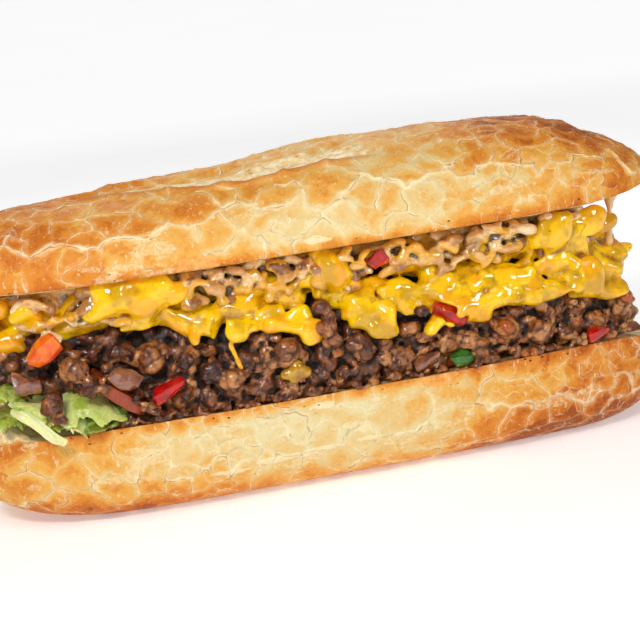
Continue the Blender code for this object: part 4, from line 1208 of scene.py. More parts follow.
def cheese_rope(field, side, draws, owner):
    """A drawn-out fold of cheese that runs aslant down the filling and ends in a drop."""
    x, height = draws.uniform(-102, 102), draws.uniform(27, 38)
    bottom = float(cheese_edge(x, side)) + draws.uniform(-1.2, 3.0)
    slant, radius = draws.uniform(-1.3, 1.3), draws.uniform(0.9, 1.8)
    places, steps = [], 6
    for step in range(steps + 1):
        level = height + (bottom - height) * step / steps
        at = float(np.clip(x + slant * (height - level) + draws.uniform(-0.6, 0.6), -108, 108))
        out = -side_y(-1, at, level, CHEESE_CLEARANCE + 2.0 + draws.uniform(-0.4, 0.4))
        places.append(np.array([at, side * min(out, CHEESE_REACH - 2.4), LOWER_RIM + level]))
    for start, end in zip(places, places[1:]):
        field.capsule(start, end, radius * 1.3, radius, CHEESE_CREASE, owner)
    drop = radius * draws.uniform(1.0, 1.35)
    field.capsule(places[-1], places[-1], drop, drop, CHEESE_CREASE, owner)


def make_cheese(material):
    field = Field((-117, -42, LOWER_RIM + 1), (117, 42, LOWER_RIM + 48), *CHEESE_MESH)
    cheese_coat(field)
    cheese_curtains(field)
    draws = random.Random(CHEESE_SEED)
    owner = DRAWN_OWNER
    for side, count in CHEESE_DRAWN.items():
        for _ in range(count):
            cheese_lump(field, side, drawn_lump(side, draws), owner)
            owner += 1
        for _ in range(CHEESE_ROPES):
            cheese_rope(field, side, draws, owner)
            owner += 1
    for first, places in ((LUMP_OWNER, CHEESE_LUMPS), (SPLASH_OWNER, CHEESE_SPLASHES)):
        for number, place in enumerate(places, first):
            cheese_lump(field, -1, place, number)
    top, end = ((x, side_y(-1, x, height, grow), LOWER_RIM + height) for x, height, grow in DRIP)
    field.capsule(top, end, 0.7, 0.55, 0.8, LUMP_OWNER)
    parts, x, y, z = field.everywhere()
    field.cut(parts, underside(x, y) - 0.3 - z)
    cut_toppings(field, 0.15, 15)
    field.roughen(5.0, 0.6, 2, 52)
    field.smooth()
    mesh, _, owner, crease = field.mesh("cheese_melt", 2.4)
    coat = (owner == COAT_OWNER) + 1.6 * ((owner >= SPLASH_OWNER) & (owner < DRAWN_OWNER))
    # crease marks the creases between blobs, where the material paints shade
    values = {"crease": crease, "tone": chance(owner, 0.9), "coat": coat}
    new_piece("cheese_melt", mesh, material, "cheese", "melted_cheese", **values)


# Onions, mushrooms and sauce

ONION_SEED = 41
ONION_STRIPS, ONION_LUMPS = 30, 250
ONION_BLEND = 0.95


def add_strip(field, centre, angles, size, bend, owner):
    """Adds a bent rounded strip to a field."""
    length, width, thickness = size
    parts, (u, v, w) = field.around(centre, length / 2 + thickness + ONION_BLEND + 1, turning(angles))
    w = w + bend * u**2 / length + 0.25 * bend * v**2 / width
    corner = min(thickness, width) * 0.42
    box = beyond((u, v, w), size, -corner)
    outside = np.sqrt(sum(np.maximum(part, 0) ** 2 for part in box))
    field.add(parts, outside + np.minimum(most(box), 0) - corner, ONION_BLEND, owner)


def onion_place(draws, side, out):
    """A random place at the side of the layer under the upper half, and the height that is free there."""
    x = draws.uniform(-99, 92)
    y = side * onion_face(x, draws.uniform(-2.0, out))
    low, high = float(cheese_top(x, y)) + 0.6, float(underside(x, y)) - 2.8
    return np.array([x, y, draws.uniform(low, max(low, high))]), high - low


def make_onions(material):
    field = Field((-106, -40, LOWER_RIM + 24), (104, 40, LOWER_RIM + 50), *ONION_MESH)
    parts, x, y, z = field.everywhere()
    width = (ONION_LAYER_HALF_WIDTH - 3.2) * oval(0.96 * between(ONION_LAYER_ENDS, x), 4.0)
    floor = cheese_top(x, np.clip(y, -27, 27)) + 0.3
    ceiling = underside(x, y) - SAUCE_THICKNESS - 1.0
    core = np.maximum(np.maximum(floor - z, z - ceiling), np.abs(y) - width)
    field.add(parts, np.maximum(core, np.abs(x + 3) - 93), owner=1)
    field.roughen(4.5, 1.3, 3, 45)
    draws = random.Random(ONION_SEED)
    owner = 2
    for side in (-1, 1):
        for owner in range(owner, owner + ONION_STRIPS):
            place, room = onion_place(draws, side, 3.6)
            if room > 0.5:
                size = (draws.uniform(4.5, 8.5), draws.uniform(2.4, 4.2), draws.uniform(1.3, 1.9))
                angles = (draws.uniform(-1.5, 1.5), draws.uniform(-0.5, 0.5), draws.uniform(-0.5, 0.5))
                add_strip(field, place, angles, size, draws.uniform(-1.6, 1.6), owner)
        for owner in range(owner + 1, owner + 1 + ONION_LUMPS):
            place, room = onion_place(draws, side, 3.4)
            if room > 0:
                radii = (draws.uniform(1.2, 3.8), draws.uniform(1.2, 2.6), draws.uniform(1.0, 2.2))
                field.lump(place, radii, (0, draws.uniform(-0.8, 0.8), 0), ONION_BLEND, owner)
        owner += 1
    field.cut(parts, underside(x, y) - 0.25 - z)
    cut_toppings(field, 0.2, 30)
    field.smooth()
    mesh, _, owner, crease = field.mesh("onion_strips", 2.0)
    # crease marks the creases between pieces, where the material paints shade
    values = {"crease": crease, "tone": chance(owner, 0.2), "tint": chance(owner, 0.6)}
    new_piece("onion_strips", mesh, material, "onion", "fried_onions", **values)


def make_sauce(material):
    field = Field((-116, -40, LOWER_RIM + 20), (114, 40, LOWER_RIM + 52), *SAUCE_MESH)
    parts, x, y, z = field.everywhere()
    ceiling = underside(x, y) - 0.2
    width = SAUCE_HALF_WIDTH * oval(0.985 * between(SAUCE_ENDS, x), 4.0)
    layer = np.maximum(ceiling - SAUCE_THICKNESS - 0.6 - z, z - ceiling)
    layer = np.maximum(np.maximum(layer, np.abs(y) - width), np.abs(x + 1) - 108)
    field.add(parts, layer, owner=1)
    foot = np.array([STRAND_X, STRAND_Y, float(cheese_top(STRAND_X, STRAND_Y)) + 0.2])
    head = np.array([STRAND_X + 1.5, STRAND_Y, float(underside(STRAND_X, STRAND_Y)) - 0.6])
    middle, neck = (foot + head) / 2, head * 0.72 + foot * 0.28
    field.capsule(head, neck, STRAND_RADIUS * 2.2, STRAND_RADIUS * 0.85, 1.5, 1)
    field.capsule(neck, middle, STRAND_RADIUS * 0.85, STRAND_RADIUS * 0.6, 0.4, 1)
    field.capsule(middle, foot, STRAND_RADIUS * 0.6, STRAND_RADIUS * 1.3, 0.4, 1)
    field.roughen(8.0, 0.25, 2, 43)
    new_piece("sauce_layer", field.mesh("sauce_layer", 2.0)[0], material, "sauce", "spread_sauce")


# Salad

TOMATOES = (
    ("tomato_slice_left", (-69.5, -24.3, 9.6), 11.0, 4.0, (0, 40, 0)),
    ("tomato_slice_middle", (31, -14.5, 1.6), 16.5, 3.2, (0, 0, 0)),
)
TOMATO_POWER = 0.72
# Half of a slice's outline: heights as shares of its half thickness
TOMATO_RIM = (-1.0, -0.97, -0.9, -0.7, -0.35, 0.0, 0.35, 0.7, 0.9, 0.97, 1.0)
TOMATO_RINGS, TOMATO_COLUMNS = 16, 90
# Sheets of each leaf: its inner left, inner right, outer left and outer right corners, how much it bulges,
# how green it is, and whether it has a rib
LEAVES = (
    ("lettuce_leaf_left", (
        ((-113, -14, 15.0), (-97, -16, 14.5), (-112, -30.0, 13.5), (-99, -33.0, 10.5), 2.2, 0.75, 0),
        ((-104, -28, 13.0), (-93, -31, 10.5), (-102, -33.5, 10.5), (-94, -37.0, 4.0), 2.0, 0.5, 0),
        ((-110, -18, 9.0), (-99, -18, 8.0), (-108, -32.0, 4.5), (-98, -34.0, 3.5), 1.5, 0.9, 0),
    )),
    ("lettuce_leaf_middle", (
        ((-99, -14, 13.5), (-86, -16, 12.5), (-95, -37.2, 3.6), (-80, -38.2, -0.9), 2.4, 0.45, 1),
        ((-90, -15, 12.8), (-77, -19, 12.0), (-87, -37.0, 3.2), (-70.0, -37.8, 1.6), 2.8, 0.5, 0),
        ((-86, -20, 6.5), (-69, -22, 5.5), (-84, -36.6, 0.8), (-66.5, -36.9, 0.2), 1.0, 1.05, 0),
        ((-96, -18, 8.0), (-84, -18, 7.5), (-94, -36.0, 1.0), (-83, -37.0, 0.4), 1.2, 0.9, 0),
    )),
    ("lettuce_leaf_back", (
        ((-100, 14, 13.5), (-84, 16, 12.5), (-98, 36.6, 3.0), (-82, 38.0, -0.4), 2.2, 0.5, 1),
        ((-109, 14, 14.0), (-97, 14, 13.5), (-108, 33.5, 6.5), (-96, 36.8, 2.4), 2.0, 0.8, 0),
        ((-90, 15, 12.5), (-79, 18, 11.5), (-89, 37.4, 2.4), (-77, 37.6, 0.6), 2.4, 0.35, 0),
    )),
)
# The thick pale rib at the left: points along it, and half its breadth and thickness
RIB_PATH = (
    (-103.5, -31.0, 11.2), (-100.5, -35.0, 10.2), (-96.0, -37.2, 6.4), (-92.0, -38.0, 1.8),
    (-88.0, -37.6, -0.6),
)
RIB_SIZE = (1.5, 0.75)
LEAF_THICKNESS = 0.7
LEAF_GRID = (38, 42)


def make_tomatoes(material):
    height = np.array(TOMATO_RIM)
    inner = np.linspace(0.05, 0.94, TOMATO_RINGS)
    flat = np.ones(TOMATO_RINGS)
    reach = np.concatenate([inner, 1 - 0.04 * np.abs(height) ** 10, inner[::-1]])[:, None]
    level = np.concatenate([-flat, height, flat])[:, None]
    angle = np.linspace(0, 2 * math.pi, TOMATO_COLUMNS, endpoint=False)[None, :]
    wave = 1 + 0.03 * np.sin(3 * angle)
    for number, (name, centre, radius, thickness, degrees) in enumerate(TOMATOES):
        x = radius * reach * wave * signed_power(np.cos(angle), TOMATO_POWER)
        y = radius * reach * wave * signed_power(np.sin(angle), TOMATO_POWER)
        rings = grid(x, y, level * thickness / 2)
        rings[..., 2] += 0.22 * rough(rings, 3.5, 2, 300 + number)
        ends = [(0, 0, -thickness / 2), (0, 0, thickness / 2)]
        rim = np.broadcast_to(reach, x.shape)
        make_cut(name, rings, ends, centre, degrees, material, "tomato", rim=rim)


def ragged_line(count, size, seed):
    """Wavy values from about -1 to 1, with waves of a size in thirtieths of the line."""
    return rough(grid(np.linspace(0, 30, count), 0.0, seed), size * 2.6, 3, seed)


def leaf_sheet(sheet, seed):
    """Rings round one crumpled, torn sheet, with its distance from a rib and its greenness."""
    corners, bulge, green, ribbed = np.array(sheet[:4], float), *sheet[4:]
    rows, columns = LEAF_GRID
    u, v = np.linspace(0, 1, rows)[:, None, None], np.linspace(0, 1, columns)[None, :, None]
    torn_end = 0.86 + 0.2 * ragged_line(rows, 2.4, seed + 30)[:, None, None]
    torn_side = 0.14 * ragged_line(columns, 3.0, seed + 33)[None, :, None]
    across, down = u + torn_side * (2 * u - 1), v * torn_end
    inner = corners[0] * (1 - across) + corners[1] * across
    outer = corners[2] * (1 - across) + corners[3] * across
    points = inner * (1 - down) + outer * down + [0, 0, LOWER_RIM]
    out = np.array([0, 0.6 * np.sign(corners[:, 1].mean()), 0.8])
    folds = np.abs(rough(points * np.array([1.0, 0.55, 0.55]), 10.0, 2, seed))[..., None]
    fine = rough(points, 3.4, 2, seed + 20)[..., None]
    arch = np.sin(math.pi * u) ** 0.7 * np.sin(math.pi * (0.15 + 0.75 * v))
    points = points + out * (bulge * arch + 2.6 * folds * (0.4 + 0.6 * v) + 0.3 * fine - 0.7)
    points[..., 1] = np.clip(points[..., 1], -39.0, 39.0)
    thick = grid_normals(points) * (LEAF_THICKNESS / 2 * np.minimum(1.0, 0.25 + 6 * np.minimum(u, 1 - u)))
    rings = np.concatenate([points + thick, (points - thick)[:, ::-1]], axis=1)
    rib = (np.abs(u - 0.5) if ribbed else 0 * u + 0.5)[..., 0] + 0 * v[..., 0]
    greenness = green + 0.45 * (v[..., 0] - 0.6) + 0.6 * folds[..., 0] - 0.25
    return rings, *(np.concatenate([side, side[:, ::-1]], axis=1).ravel() for side in (rib, greenness))


def leaf_rib():
    """Rings round the thick pale rib, with values like those of a sheet."""
    path = np.array(RIB_PATH) + [0, 0, LOWER_RIM]
    places = np.linspace(0, 1, len(path))
    share = np.linspace(0, 1, LEAF_GRID[0])
    line = np.stack([np.interp(share, places, path[:, k]) for k in range(3)], axis=-1)
    for _ in range(6):
        line[1:-1] = (line[:-2] + 2 * line[1:-1] + line[2:]) / 4
    way = np.gradient(line, axis=0)
    way /= np.linalg.norm(way, axis=1, keepdims=True)
    outward = np.cross(way, [1.0, 0, 0.6])
    outward /= np.linalg.norm(outward, axis=1, keepdims=True)
    breadth = np.cross(way, outward)
    turn = np.linspace(0, 2 * math.pi, 2 * LEAF_GRID[1], endpoint=False)[None, :, None]
    swell = (oval(2 * share - 1, 4.0) * (1 + 0.3 * ragged_line(len(share), 4.0, 61)))[:, None, None]
    ridge = 1 + 0.14 * np.cos(5 * turn + 6 * share[:, None, None])
    rings = line[:, None] + swell * ridge * (
        RIB_SIZE[0] * np.cos(turn) * breadth[:, None] + RIB_SIZE[1] * np.sin(turn) * outward[:, None]
    )
    rings[..., 1] = np.maximum(rings[..., 1], -39.1)
    green = 0.3 + 0.4 * ease(ragged_line(len(share), 5.0, 63), -0.2, 0.9)[:, None] * np.ones(rings.shape[1])
    return rings, np.full(rings[..., 0].size, 0.5), green.ravel() - 0.1


def make_leaves(material):
    for number, (name, sheets) in enumerate(LEAVES):
        parts = [leaf_sheet(sheet, 400 + 40 * number + 7 * k) for k, sheet in enumerate(sheets)]
        if name == "lettuce_leaf_left":
            parts.append(leaf_rib())
        points, quads, fans, ribs, greens, start = [], [], [], [], [], 0
        for rings, rib, green in parts:
            sheet_quads, sheet_fans = ring_faces(*rings.shape[:2])
            ends = [rings[0].mean(axis=0), rings[-1].mean(axis=0)]
            points.append(np.concatenate([rings.reshape(-1, 3), ends]))
            quads.append(sheet_quads + start)
            fans.append(sheet_fans + start)
            ribs.append(np.append(rib, [0.5, 0.5]))
            greens.append(np.append(green, [0.5, 0.5]))
            start += len(points[-1])
        mesh = new_mesh(name + "_crisp", *map(np.concatenate, (points, quads, fans)))
        values = {"rib": np.concatenate(ribs), "green": np.concatenate(greens)}
        new_piece(name + "_crisp", mesh, material, "lettuce", name, **values)


# Materials

def linear(*colour):
    """A colour from sRGB bytes to the linear values that shaders take."""
    shares = [c / 255 for c in colour]
    return tuple(s / 12.92 if s <= 0.04045 else ((s + 0.055) / 1.055) ** 2.4 for s in shares) + (1.0,)


class Value:
    """A number that a material works out at each point, with the sums and products that Math nodes give."""

    def __init__(self, shades, socket):
        self.shades, self.socket = shades, socket

    def __add__(self, other):
        return self.shades.math("ADD", self, other)

    def __sub__(self, other):
        return self.shades.math("SUBTRACT", self, other)

    def __mul__(self, other):
        return self.shades.math("MULTIPLY", self, other)

    def __truediv__(self, other):
        return self.shades.math("DIVIDE", self, other)

    def __abs__(self):
        return self.shades.math("ABSOLUTE", self)


class Shades:
    """A material that grows node by node from a base colour. Places in it are in millimetres."""

    def __init__(self, name, **settings):
        self.material = bpy.data.materials.new(name)
        self.material.use_nodes = True
        self.tree = self.material.node_tree
        self.shader = self.tree.nodes["Principled BSDF"]
        self.colour = None
        for socket, value in settings.items():
            self.shader.inputs[socket.replace("_", " ")].default_value = value
        place = self.node("TexCoord").outputs["Object"]
        self.place = self.node("VectorMath", {0: place, "Scale": 1 / MM}, operation="SCALE").outputs[0]

    def feed(self, target, value):
        """Links a socket or a Value, or sets a number or colour."""
        value = getattr(value, "socket", value)
        if isinstance(value, bpy.types.NodeSocket):
            self.tree.links.new(value, target)
        else:
            target.default_value = value

    def node(self, kind, inputs=None, **settings):
        """A new node with its settings, and with numbers or links for its inputs."""
        made = self.tree.nodes.new("ShaderNode" + kind)
        for name, value in settings.items():
            setattr(made, name, value)
        for socket, value in (inputs or {}).items():
            self.feed(made.inputs[socket], value)
        return made

    def __getitem__(self, name):
        """A value that the mesh has at each point."""
        return Value(self, self.node("Attribute", attribute_name=name).outputs["Fac"])

    def math(self, operation, first, second=0.0):
        return Value(self, self.node("Math", {0: first, 1: second}, operation=operation).outputs[0])

    def most(self, first, second):
        return self.math("MAXIMUM", first, second)

    def stretch(self, x=1, y=1, z=1, offset=(0, 0, 0)):
        """The place with its axes scaled and then shifted."""
        return self.node("Mapping", {"Vector": self.place, "Scale": (x, y, z), "Location": offset}).outputs[0]

    def noise(self, size, detail=3.0, roughness=0.55, place=None):
        inputs = {"Vector": place or self.place, "Scale": 1 / size, "Detail": detail, "Roughness": roughness}
        return Value(self, self.node("TexNoise", inputs).outputs["Fac"])

    def swing(self, reach, size, detail=3.0, roughness=0.55, place=None):
        """Noise from minus to plus half the reach."""
        return (self.noise(size, detail, roughness, place) - 0.5) * reach

    def wavy(self, size, reach):
        """The place, shifted by noise with waves of a size, up to a reach in millimetres."""
        waves = self.node("TexNoise", {"Vector": self.place, "Scale": 1 / size, "Detail": 2.0})
        inputs = {0: waves.outputs["Color"], 1: (reach, reach, reach), 2: self.place}
        return self.node("VectorMath", inputs, operation="MULTIPLY_ADD").outputs[0]

    def voronoi(self, size, feature="F1", place=None):
        """The distance from scattered points, or from the edges between them."""
        inputs = {"Vector": place or self.place, "Scale": 1 / size}
        return Value(self, self.node("TexVoronoi", inputs, feature=feature).outputs["Distance"])

    def band(self, value, start, end, low=0.0, high=1.0):
        """A smooth step of a value, from low at start to high at end."""
        inputs = {"Value": value, "From Min": start, "From Max": end, "To Min": low, "To Max": high}
        return Value(self, self.node("MapRange", inputs, interpolation_type="SMOOTHSTEP").outputs[0])

    def ramp(self, value, *stops):
        """A colour through stops, each a place and then sRGB bytes."""
        node = self.node("ValToRGB", {0: value})
        node.color_ramp.interpolation = "EASE"
        elements = node.color_ramp.elements
        for _ in stops[2:]:
            elements.new(0.5)
        for element, (place, *colour) in zip(elements, stops):
            element.position = place
            element.color = linear(*colour)
        return node.outputs[0]

    def lay(self, share, colour):
        """Covers a share of the base colour with another."""
        inputs = {"Factor": share, 6: self.colour, 7: colour}
        self.colour = self.node("Mix", inputs, data_type="RGBA").outputs[2]

    def paint(self, share, *colour):
        self.lay(share, linear(*colour))

    def finish(self, roughness, relief, reach, strength):
        """The material, whose relief stands up by a reach in millimetres."""
        bump = self.node("Bump", {"Height": relief, "Distance": reach * MM, "Strength": strength}).outputs[0]
        for socket, value in (("Base Color", self.colour), ("Roughness", roughness), ("Normal", bump)):
            self.feed(self.shader.inputs[socket], value)
        return self.material


PALE_CRUST = (250, 228, 182)
CRUST_TONES = (
    (0.0, 226, 211, 161), (0.22, 225, 194, 130), (0.45, 227, 167, 76), (0.68, 216, 134, 42),
    (0.88, 196, 106, 26), (1.0, 160, 78, 18),
)
SAUCE_SMEAR_TONES = ((0.3, 214, 130, 52), (0.5, 236, 164, 82), (0.7, 248, 196, 124))
BREAD_TONES = ((0.3, 214, 156, 84), (0.46, 240, 208, 150), (0.6, 250, 234, 196), (0.8, 252, 242, 216))
BEEF_TONES = (
    (0.1, 64, 26, 11), (0.34, 102, 52, 22), (0.56, 148, 87, 41), (0.78, 190, 130, 73), (0.98, 168, 82, 22),
)
CHEESE_TONES = ((0.0, 240, 166, 1), (0.35, 249, 192, 2), (0.75, 252, 204, 3), (1.0, 242, 168, 8))
THIN_CHEESE_TONES = ((0.3, 160, 108, 8), (0.5, 206, 154, 10), (0.7, 232, 176, 34))
SPLASH_TONES = ((0.35, 146, 96, 30), (0.65, 196, 150, 24))
ONION_TONES = (
    (0.0, 134, 80, 36), (0.2, 180, 124, 60), (0.45, 216, 164, 92), (0.7, 238, 192, 120),
    (0.88, 248, 220, 168), (1.0, 216, 156, 44),
)
SAUCE_TONES = ((0.3, 214, 156, 92), (0.55, 232, 186, 124), (0.75, 226, 152, 84))
# Skin, flesh and the skin's deeper tone
PEPPERS = {
    "pepper_red": ((196, 8, 6), (228, 66, 22), (138, 3, 4)),
    "pepper_orange": ((240, 120, 14), (250, 70, 24), (226, 74, 10)),
    "pepper_green": ((58, 118, 34), (140, 170, 70), (24, 70, 14)),
}
PETAL_TONES = ((0.3, 106, 54, 40), (0.55, 146, 88, 58), (0.8, 178, 122, 56))
TOMATO_TONES = ((0.3, 136, 52, 20), (0.55, 166, 78, 34), (0.8, 190, 110, 56))
LETTUCE_TONES = (
    (0.0, 236, 230, 178), (0.3, 222, 222, 150), (0.55, 198, 210, 108), (0.8, 164, 184, 62),
    (1.0, 112, 140, 32),
)


def crust_lines(s):
    """(pale lines, dark hairlines) along the plates' borders, each from 0 to 1."""
    width = (s["bold"] * 0.09 + 0.05) * s.band(s.noise(3.5), 0.3, 0.7, 0.3, 1.9)
    near = s.band(s["gap"], 1.1, 1.6, 1.0, 0.0)
    line = s.band(abs(s["line"]) / width, 0.5, 1.7, 1.0, 0.0) * near
    line = line * s.band(s.noise(7.0), 0.34, 0.54, 0.25, 1.0)
    fine = s.band(abs(s["fine_line"]), 0.05, 0.26, 1.0, 0.0) * s.band(s["fine_gap"], 0.9, 1.3, 1.0, 0.0)
    fine = fine * (s["mottle"] * 0.7) * s.band(s.noise(5.0), 0.42, 0.6)
    dark = s.band(s["line"], 0.08, 0.15) * s.band(s["line"], 0.4, 0.25) * near
    dark = dark * s.band(s.noise(6.5, 2.0), 0.46, 0.56) * s.band(s["bold"], 0.4, 0.7)
    return s.most(line, fine), dark


def crust_material():
    s = Shades("baked_crust", Specular_IOR_Level=0.22)
    level = s["bake"] + s.swing(0.5, 6.0, 5.0, 0.65) + s.swing(0.42, 1.3, 5.0, 0.65)
    level = level + (s["fine_tone"] - 0.5) * 0.26 * s["mottle"] + s.band(s["gap"], 0.3, 4.0, -0.08, 0.1)
    s.colour = s.ramp(level, *CRUST_TONES)
    halo = s.band(s["gap"] + s.swing(1.2, 1.6), 0.0, 1.5, 1.0, 0.0) * (s["bold"] * 0.34)
    s.paint(halo * s.band(s.noise(6.0), 0.35, 0.6, 0.2, 1.0), *PALE_CRUST)
    lines, dark = crust_lines(s)
    s.paint(lines * 0.6, 252, 234, 194)
    streak = s.noise(1.5, 4.0, 0.62, s.stretch(0.8, 0.8, 0.3, (5, 60, 2))) + s.swing(0.25, 9.0, 2.0)
    s.paint(s.band(streak, 0.62, 0.7, 0.0, 0.45), *PALE_CRUST)
    flake = s.band(s["flake"] + s.swing(0.9, 1.3, 5.0, 0.7, s.stretch(0.45)), 0.32, 0.85)
    s.paint(flake * s.band(s.noise(1.1, 4.0, 0.7), 0.35, 0.65, 0.05, 0.55), 250, 230, 184)
    s.paint(dark * 0.5, 144, 84, 40)
    flap = s["flap"] + s.swing(1.9, 1.6, 4.0, 0.7, s.stretch(0.5))
    s.paint(s.band(flap, 0.6, 0.95, 0.0, 0.6), 248, 232, 190)
    smear = s.band(s["sauce"] + s.swing(0.7, 2.4, 4.0, 0.65), 0.4, 0.7, 0.0, 0.85)
    s.lay(smear * s.band(s["sauce"], 0.02, 0.2), s.ramp(s.noise(3.0), *SAUCE_SMEAR_TONES))
    s.paint(s["ear"] * 0.6, 176, 96, 48)
    crumb = s.band(s["crumb"] + s.swing(1.0, 2.2, 4.0, 0.65, s.stretch(0.4)), 0.3, 0.6)
    crumb = crumb * s.band(s["crumb"], 0.02, 0.1)
    s.lay(crumb, s.ramp(s.noise(1.8, 5.0, 0.65, s.stretch(0.5)), *BREAD_TONES))
    s.paint(s["stain"] * s.band(s.noise(4.0), 0.3, 0.6, 0.45, 0.85), 168, 100, 44)
    speck = s.band(s.voronoi(2.2, place=s.stretch(0.6)), 0.1, 0.17, 1.0, 0.0)
    s.paint(speck * s.band(s.noise(9.0, 2.0), 0.5, 0.56) * s["rim"], 44, 24, 14)
    dots = s.voronoi(2.4, place=s.stretch(offset=(31, 7, 3)))
    s.paint(s.band(dots, 0.05, 0.13, 0.5, 0.0), *PALE_CRUST)
    matt = s.most(flake, crumb) * 0.3
    roughness = s.band(s.noise(3.0), 0.3, 0.7, 0.48, 0.66) + matt - s["sauce"] * 0.25
    relief = s.noise(0.9, 4.0, 0.6) * 0.8 + lines * 0.4 - dark * 0.8
    return s.finish(roughness, relief + matt * (s.noise(0.7, 3.0, 0.7) * 4.0), 0.35, 0.7)


def beef_material():
    s = Shades("browned_beef", Specular_IOR_Level=0.6)
    s.colour = s.ramp(s["tone"] + s.swing(0.8, 2.2, 4.0, 0.6), *BEEF_TONES)
    s.paint(s.band(s.noise(6.0), 0.58, 0.68, 0.0, 0.7), 96, 30, 20)
    amber = s.noise(7.0, place=s.stretch(offset=(9, 5, 40)))
    s.paint(s.band(amber, 0.58, 0.68, 0.0, 0.65), 184, 104, 30)
    fold, crease = s.band(s["fold"], 0.25, 0.95), s.band(s["crease"], 0.46, 0.68)
    # Painted shade: near black in the creases between lobes (fold) and between crumbs (crease), and over the
    # core behind the crumbs (heap)
    s.paint(fold * 0.75, 44, 16, 6)
    s.paint(crease * 0.92, 14, 5, 2)
    s.paint(s["heap"] * 0.8, 16, 6, 2)
    matt = s.most(s.most(crease, fold), s["heap"] * 0.5)
    roughness = s.band(s.noise(2.0, 2.0), 0.35, 0.7, 0.13, 0.26) + matt * 0.7
    return s.finish(roughness, s.noise(1.2, 3.0, 0.5) + s.noise(0.4, 2.0) * 0.1, 0.5, 0.5)


def cheese_material():
    s = Shades(
        "melted_cheese_gloss", Specular_IOR_Level=0.55, Subsurface_Weight=0.2, Subsurface_Scale=0.003,
        Subsurface_Radius=(1.0, 0.6, 0.1), Coat_Weight=0.35, Coat_Roughness=0.04,
    )
    s.colour = s.ramp(s["tone"] + s.swing(1.0, 7.0), *CHEESE_TONES)
    olive = s.noise(9.0, place=s.stretch(offset=(3, 50, 7)))
    s.paint(s.band(olive, 0.5, 0.64, 0.0, 0.8), 198, 150, 2)
    thin = s.band(s["coat"] + s.swing(1.3, 4.0), 0.75, 1.25, 0.0, 0.9)
    s.lay(thin, s.ramp(s.noise(3.4, 3.0, 0.6), *THIN_CHEESE_TONES))
    s.lay(s.band(s["coat"], 1.3, 1.5, 0.0, 0.8), s.ramp(s.noise(3.0), *SPLASH_TONES))
    # Painted shade: darker olive in the creases between blobs
    s.paint(s.band(s["crease"], 0.48, 0.7, 0.0, 0.9), 150, 88, 2)
    s.paint(s.band(s.voronoi(4.4), 0.04, 0.09, 0.9, 0.0) * s.band(s.noise(8.0, 2.0), 0.48, 0.58), 96, 48, 16)
    roughness = s.band(s.noise(4.0, 2.0), 0.35, 0.7, 0.05, 0.13)
    return s.finish(roughness, s.noise(2.6, 1.5, 0.5, s.stretch(0.45)), 0.8, 0.4)


def onion_material():
    s = Shades(
        "fried_onion_gloss", Specular_IOR_Level=0.8, Subsurface_Weight=0.2, Subsurface_Scale=0.003,
        Coat_Weight=0.6, Coat_Roughness=0.05,
    )
    s.colour = s.ramp(s["tone"] + s.swing(0.6, 4.0), *ONION_TONES)
    s.paint(s.band(s["tint"] + s.swing(0.8, 5.0), 0.55, 0.75) * 0.9, 234, 172, 24)
    s.paint(s.band(s.noise(0.8, 2.0, place=s.stretch(0.2)), 0.4, 0.6, 0.0, 0.2), 150, 96, 52)
    # Painted shade: near black in the creases between pieces
    s.paint(s.band(s["crease"], 0.46, 0.66, 0.0, 0.92), 50, 24, 8)
    speck = s.band(s.voronoi(3.4), 0.06, 0.12, 1.0, 0.0) * s.band(s.noise(7.0, 2.0), 0.48, 0.6)
    s.paint(speck * 0.6, 70, 34, 14)
    return s.finish(s.band(s.noise(3.0, 2.0), 0.35, 0.7, 0.08, 0.2), s.noise(2.2, 2.0, 0.5), 0.7, 0.5)


def sauce_material():
    s = Shades(
        "creamy_sauce", Subsurface_Weight=0.2, Subsurface_Scale=0.003, Coat_Weight=0.3, Coat_Roughness=0.1,
    )
    s.colour = s.ramp(s.noise(6.0, 4.0), *SAUCE_TONES)
    return s.finish(s.band(s.noise(2.0), 0.35, 0.7, 0.2, 0.4), s.noise(2.2), 0.5, 0.5)


def pepper_material(name, skin, flesh, deep):
    s = Shades(
        name, Specular_IOR_Level=0.5, Subsurface_Weight=0.1, Subsurface_Scale=0.002, Coat_Weight=0.35,
        Coat_Roughness=0.04,
    )
    s.colour = s.ramp(s.noise(3.0), (0.3, *deep), (0.65, *skin))
    s.paint(s.band(s["skin"] + s.swing(0.2, 1.5), 0.45, 0.15) * 0.9, *flesh)
    return s.finish(s.band(s.noise(1.6, 2.0), 0.3, 0.7, 0.12, 0.3), s.noise(1.6), 0.3, 0.5)


def onion_piece_material():
    s = Shades(
        "onion_petal_gloss", Specular_IOR_Level=0.8, Subsurface_Weight=0.25, Subsurface_Scale=0.003,
        Coat_Weight=0.8, Coat_Roughness=0.05,
    )
    s.colour = s.ramp(s.noise(3.4), *PETAL_TONES)
    s.paint(s.band(s.noise(0.7, 2.0, place=s.stretch(0.2)), 0.42, 0.6, 0.0, 0.3), 110, 64, 52)
    s.paint(s.band(s["skin"] + s.swing(0.2, 1.5), 0.45, 0.15, 0.0, 0.7), 196, 136, 44)
    return s.finish(s.band(s.noise(1.8, 2.0), 0.3, 0.7, 0.12, 0.28), s.noise(1.8), 0.35, 0.5)


def tomato_material():
    s = Shades(
        "tomato_flesh", Specular_IOR_Level=0.45, Subsurface_Weight=0.15, Subsurface_Scale=0.003,
        Coat_Weight=0.2, Coat_Roughness=0.08,
    )
    s.colour = s.ramp(s.noise(4.0, 4.0), *TOMATO_TONES)
    s.paint(s.band(s["rim"], 0.9, 0.97) * 0.6, 144, 46, 16)
    return s.finish(s.band(s.noise(2.0), 0.3, 0.7, 0.2, 0.4), s.noise(1.6, 4.0), 0.4, 0.5)


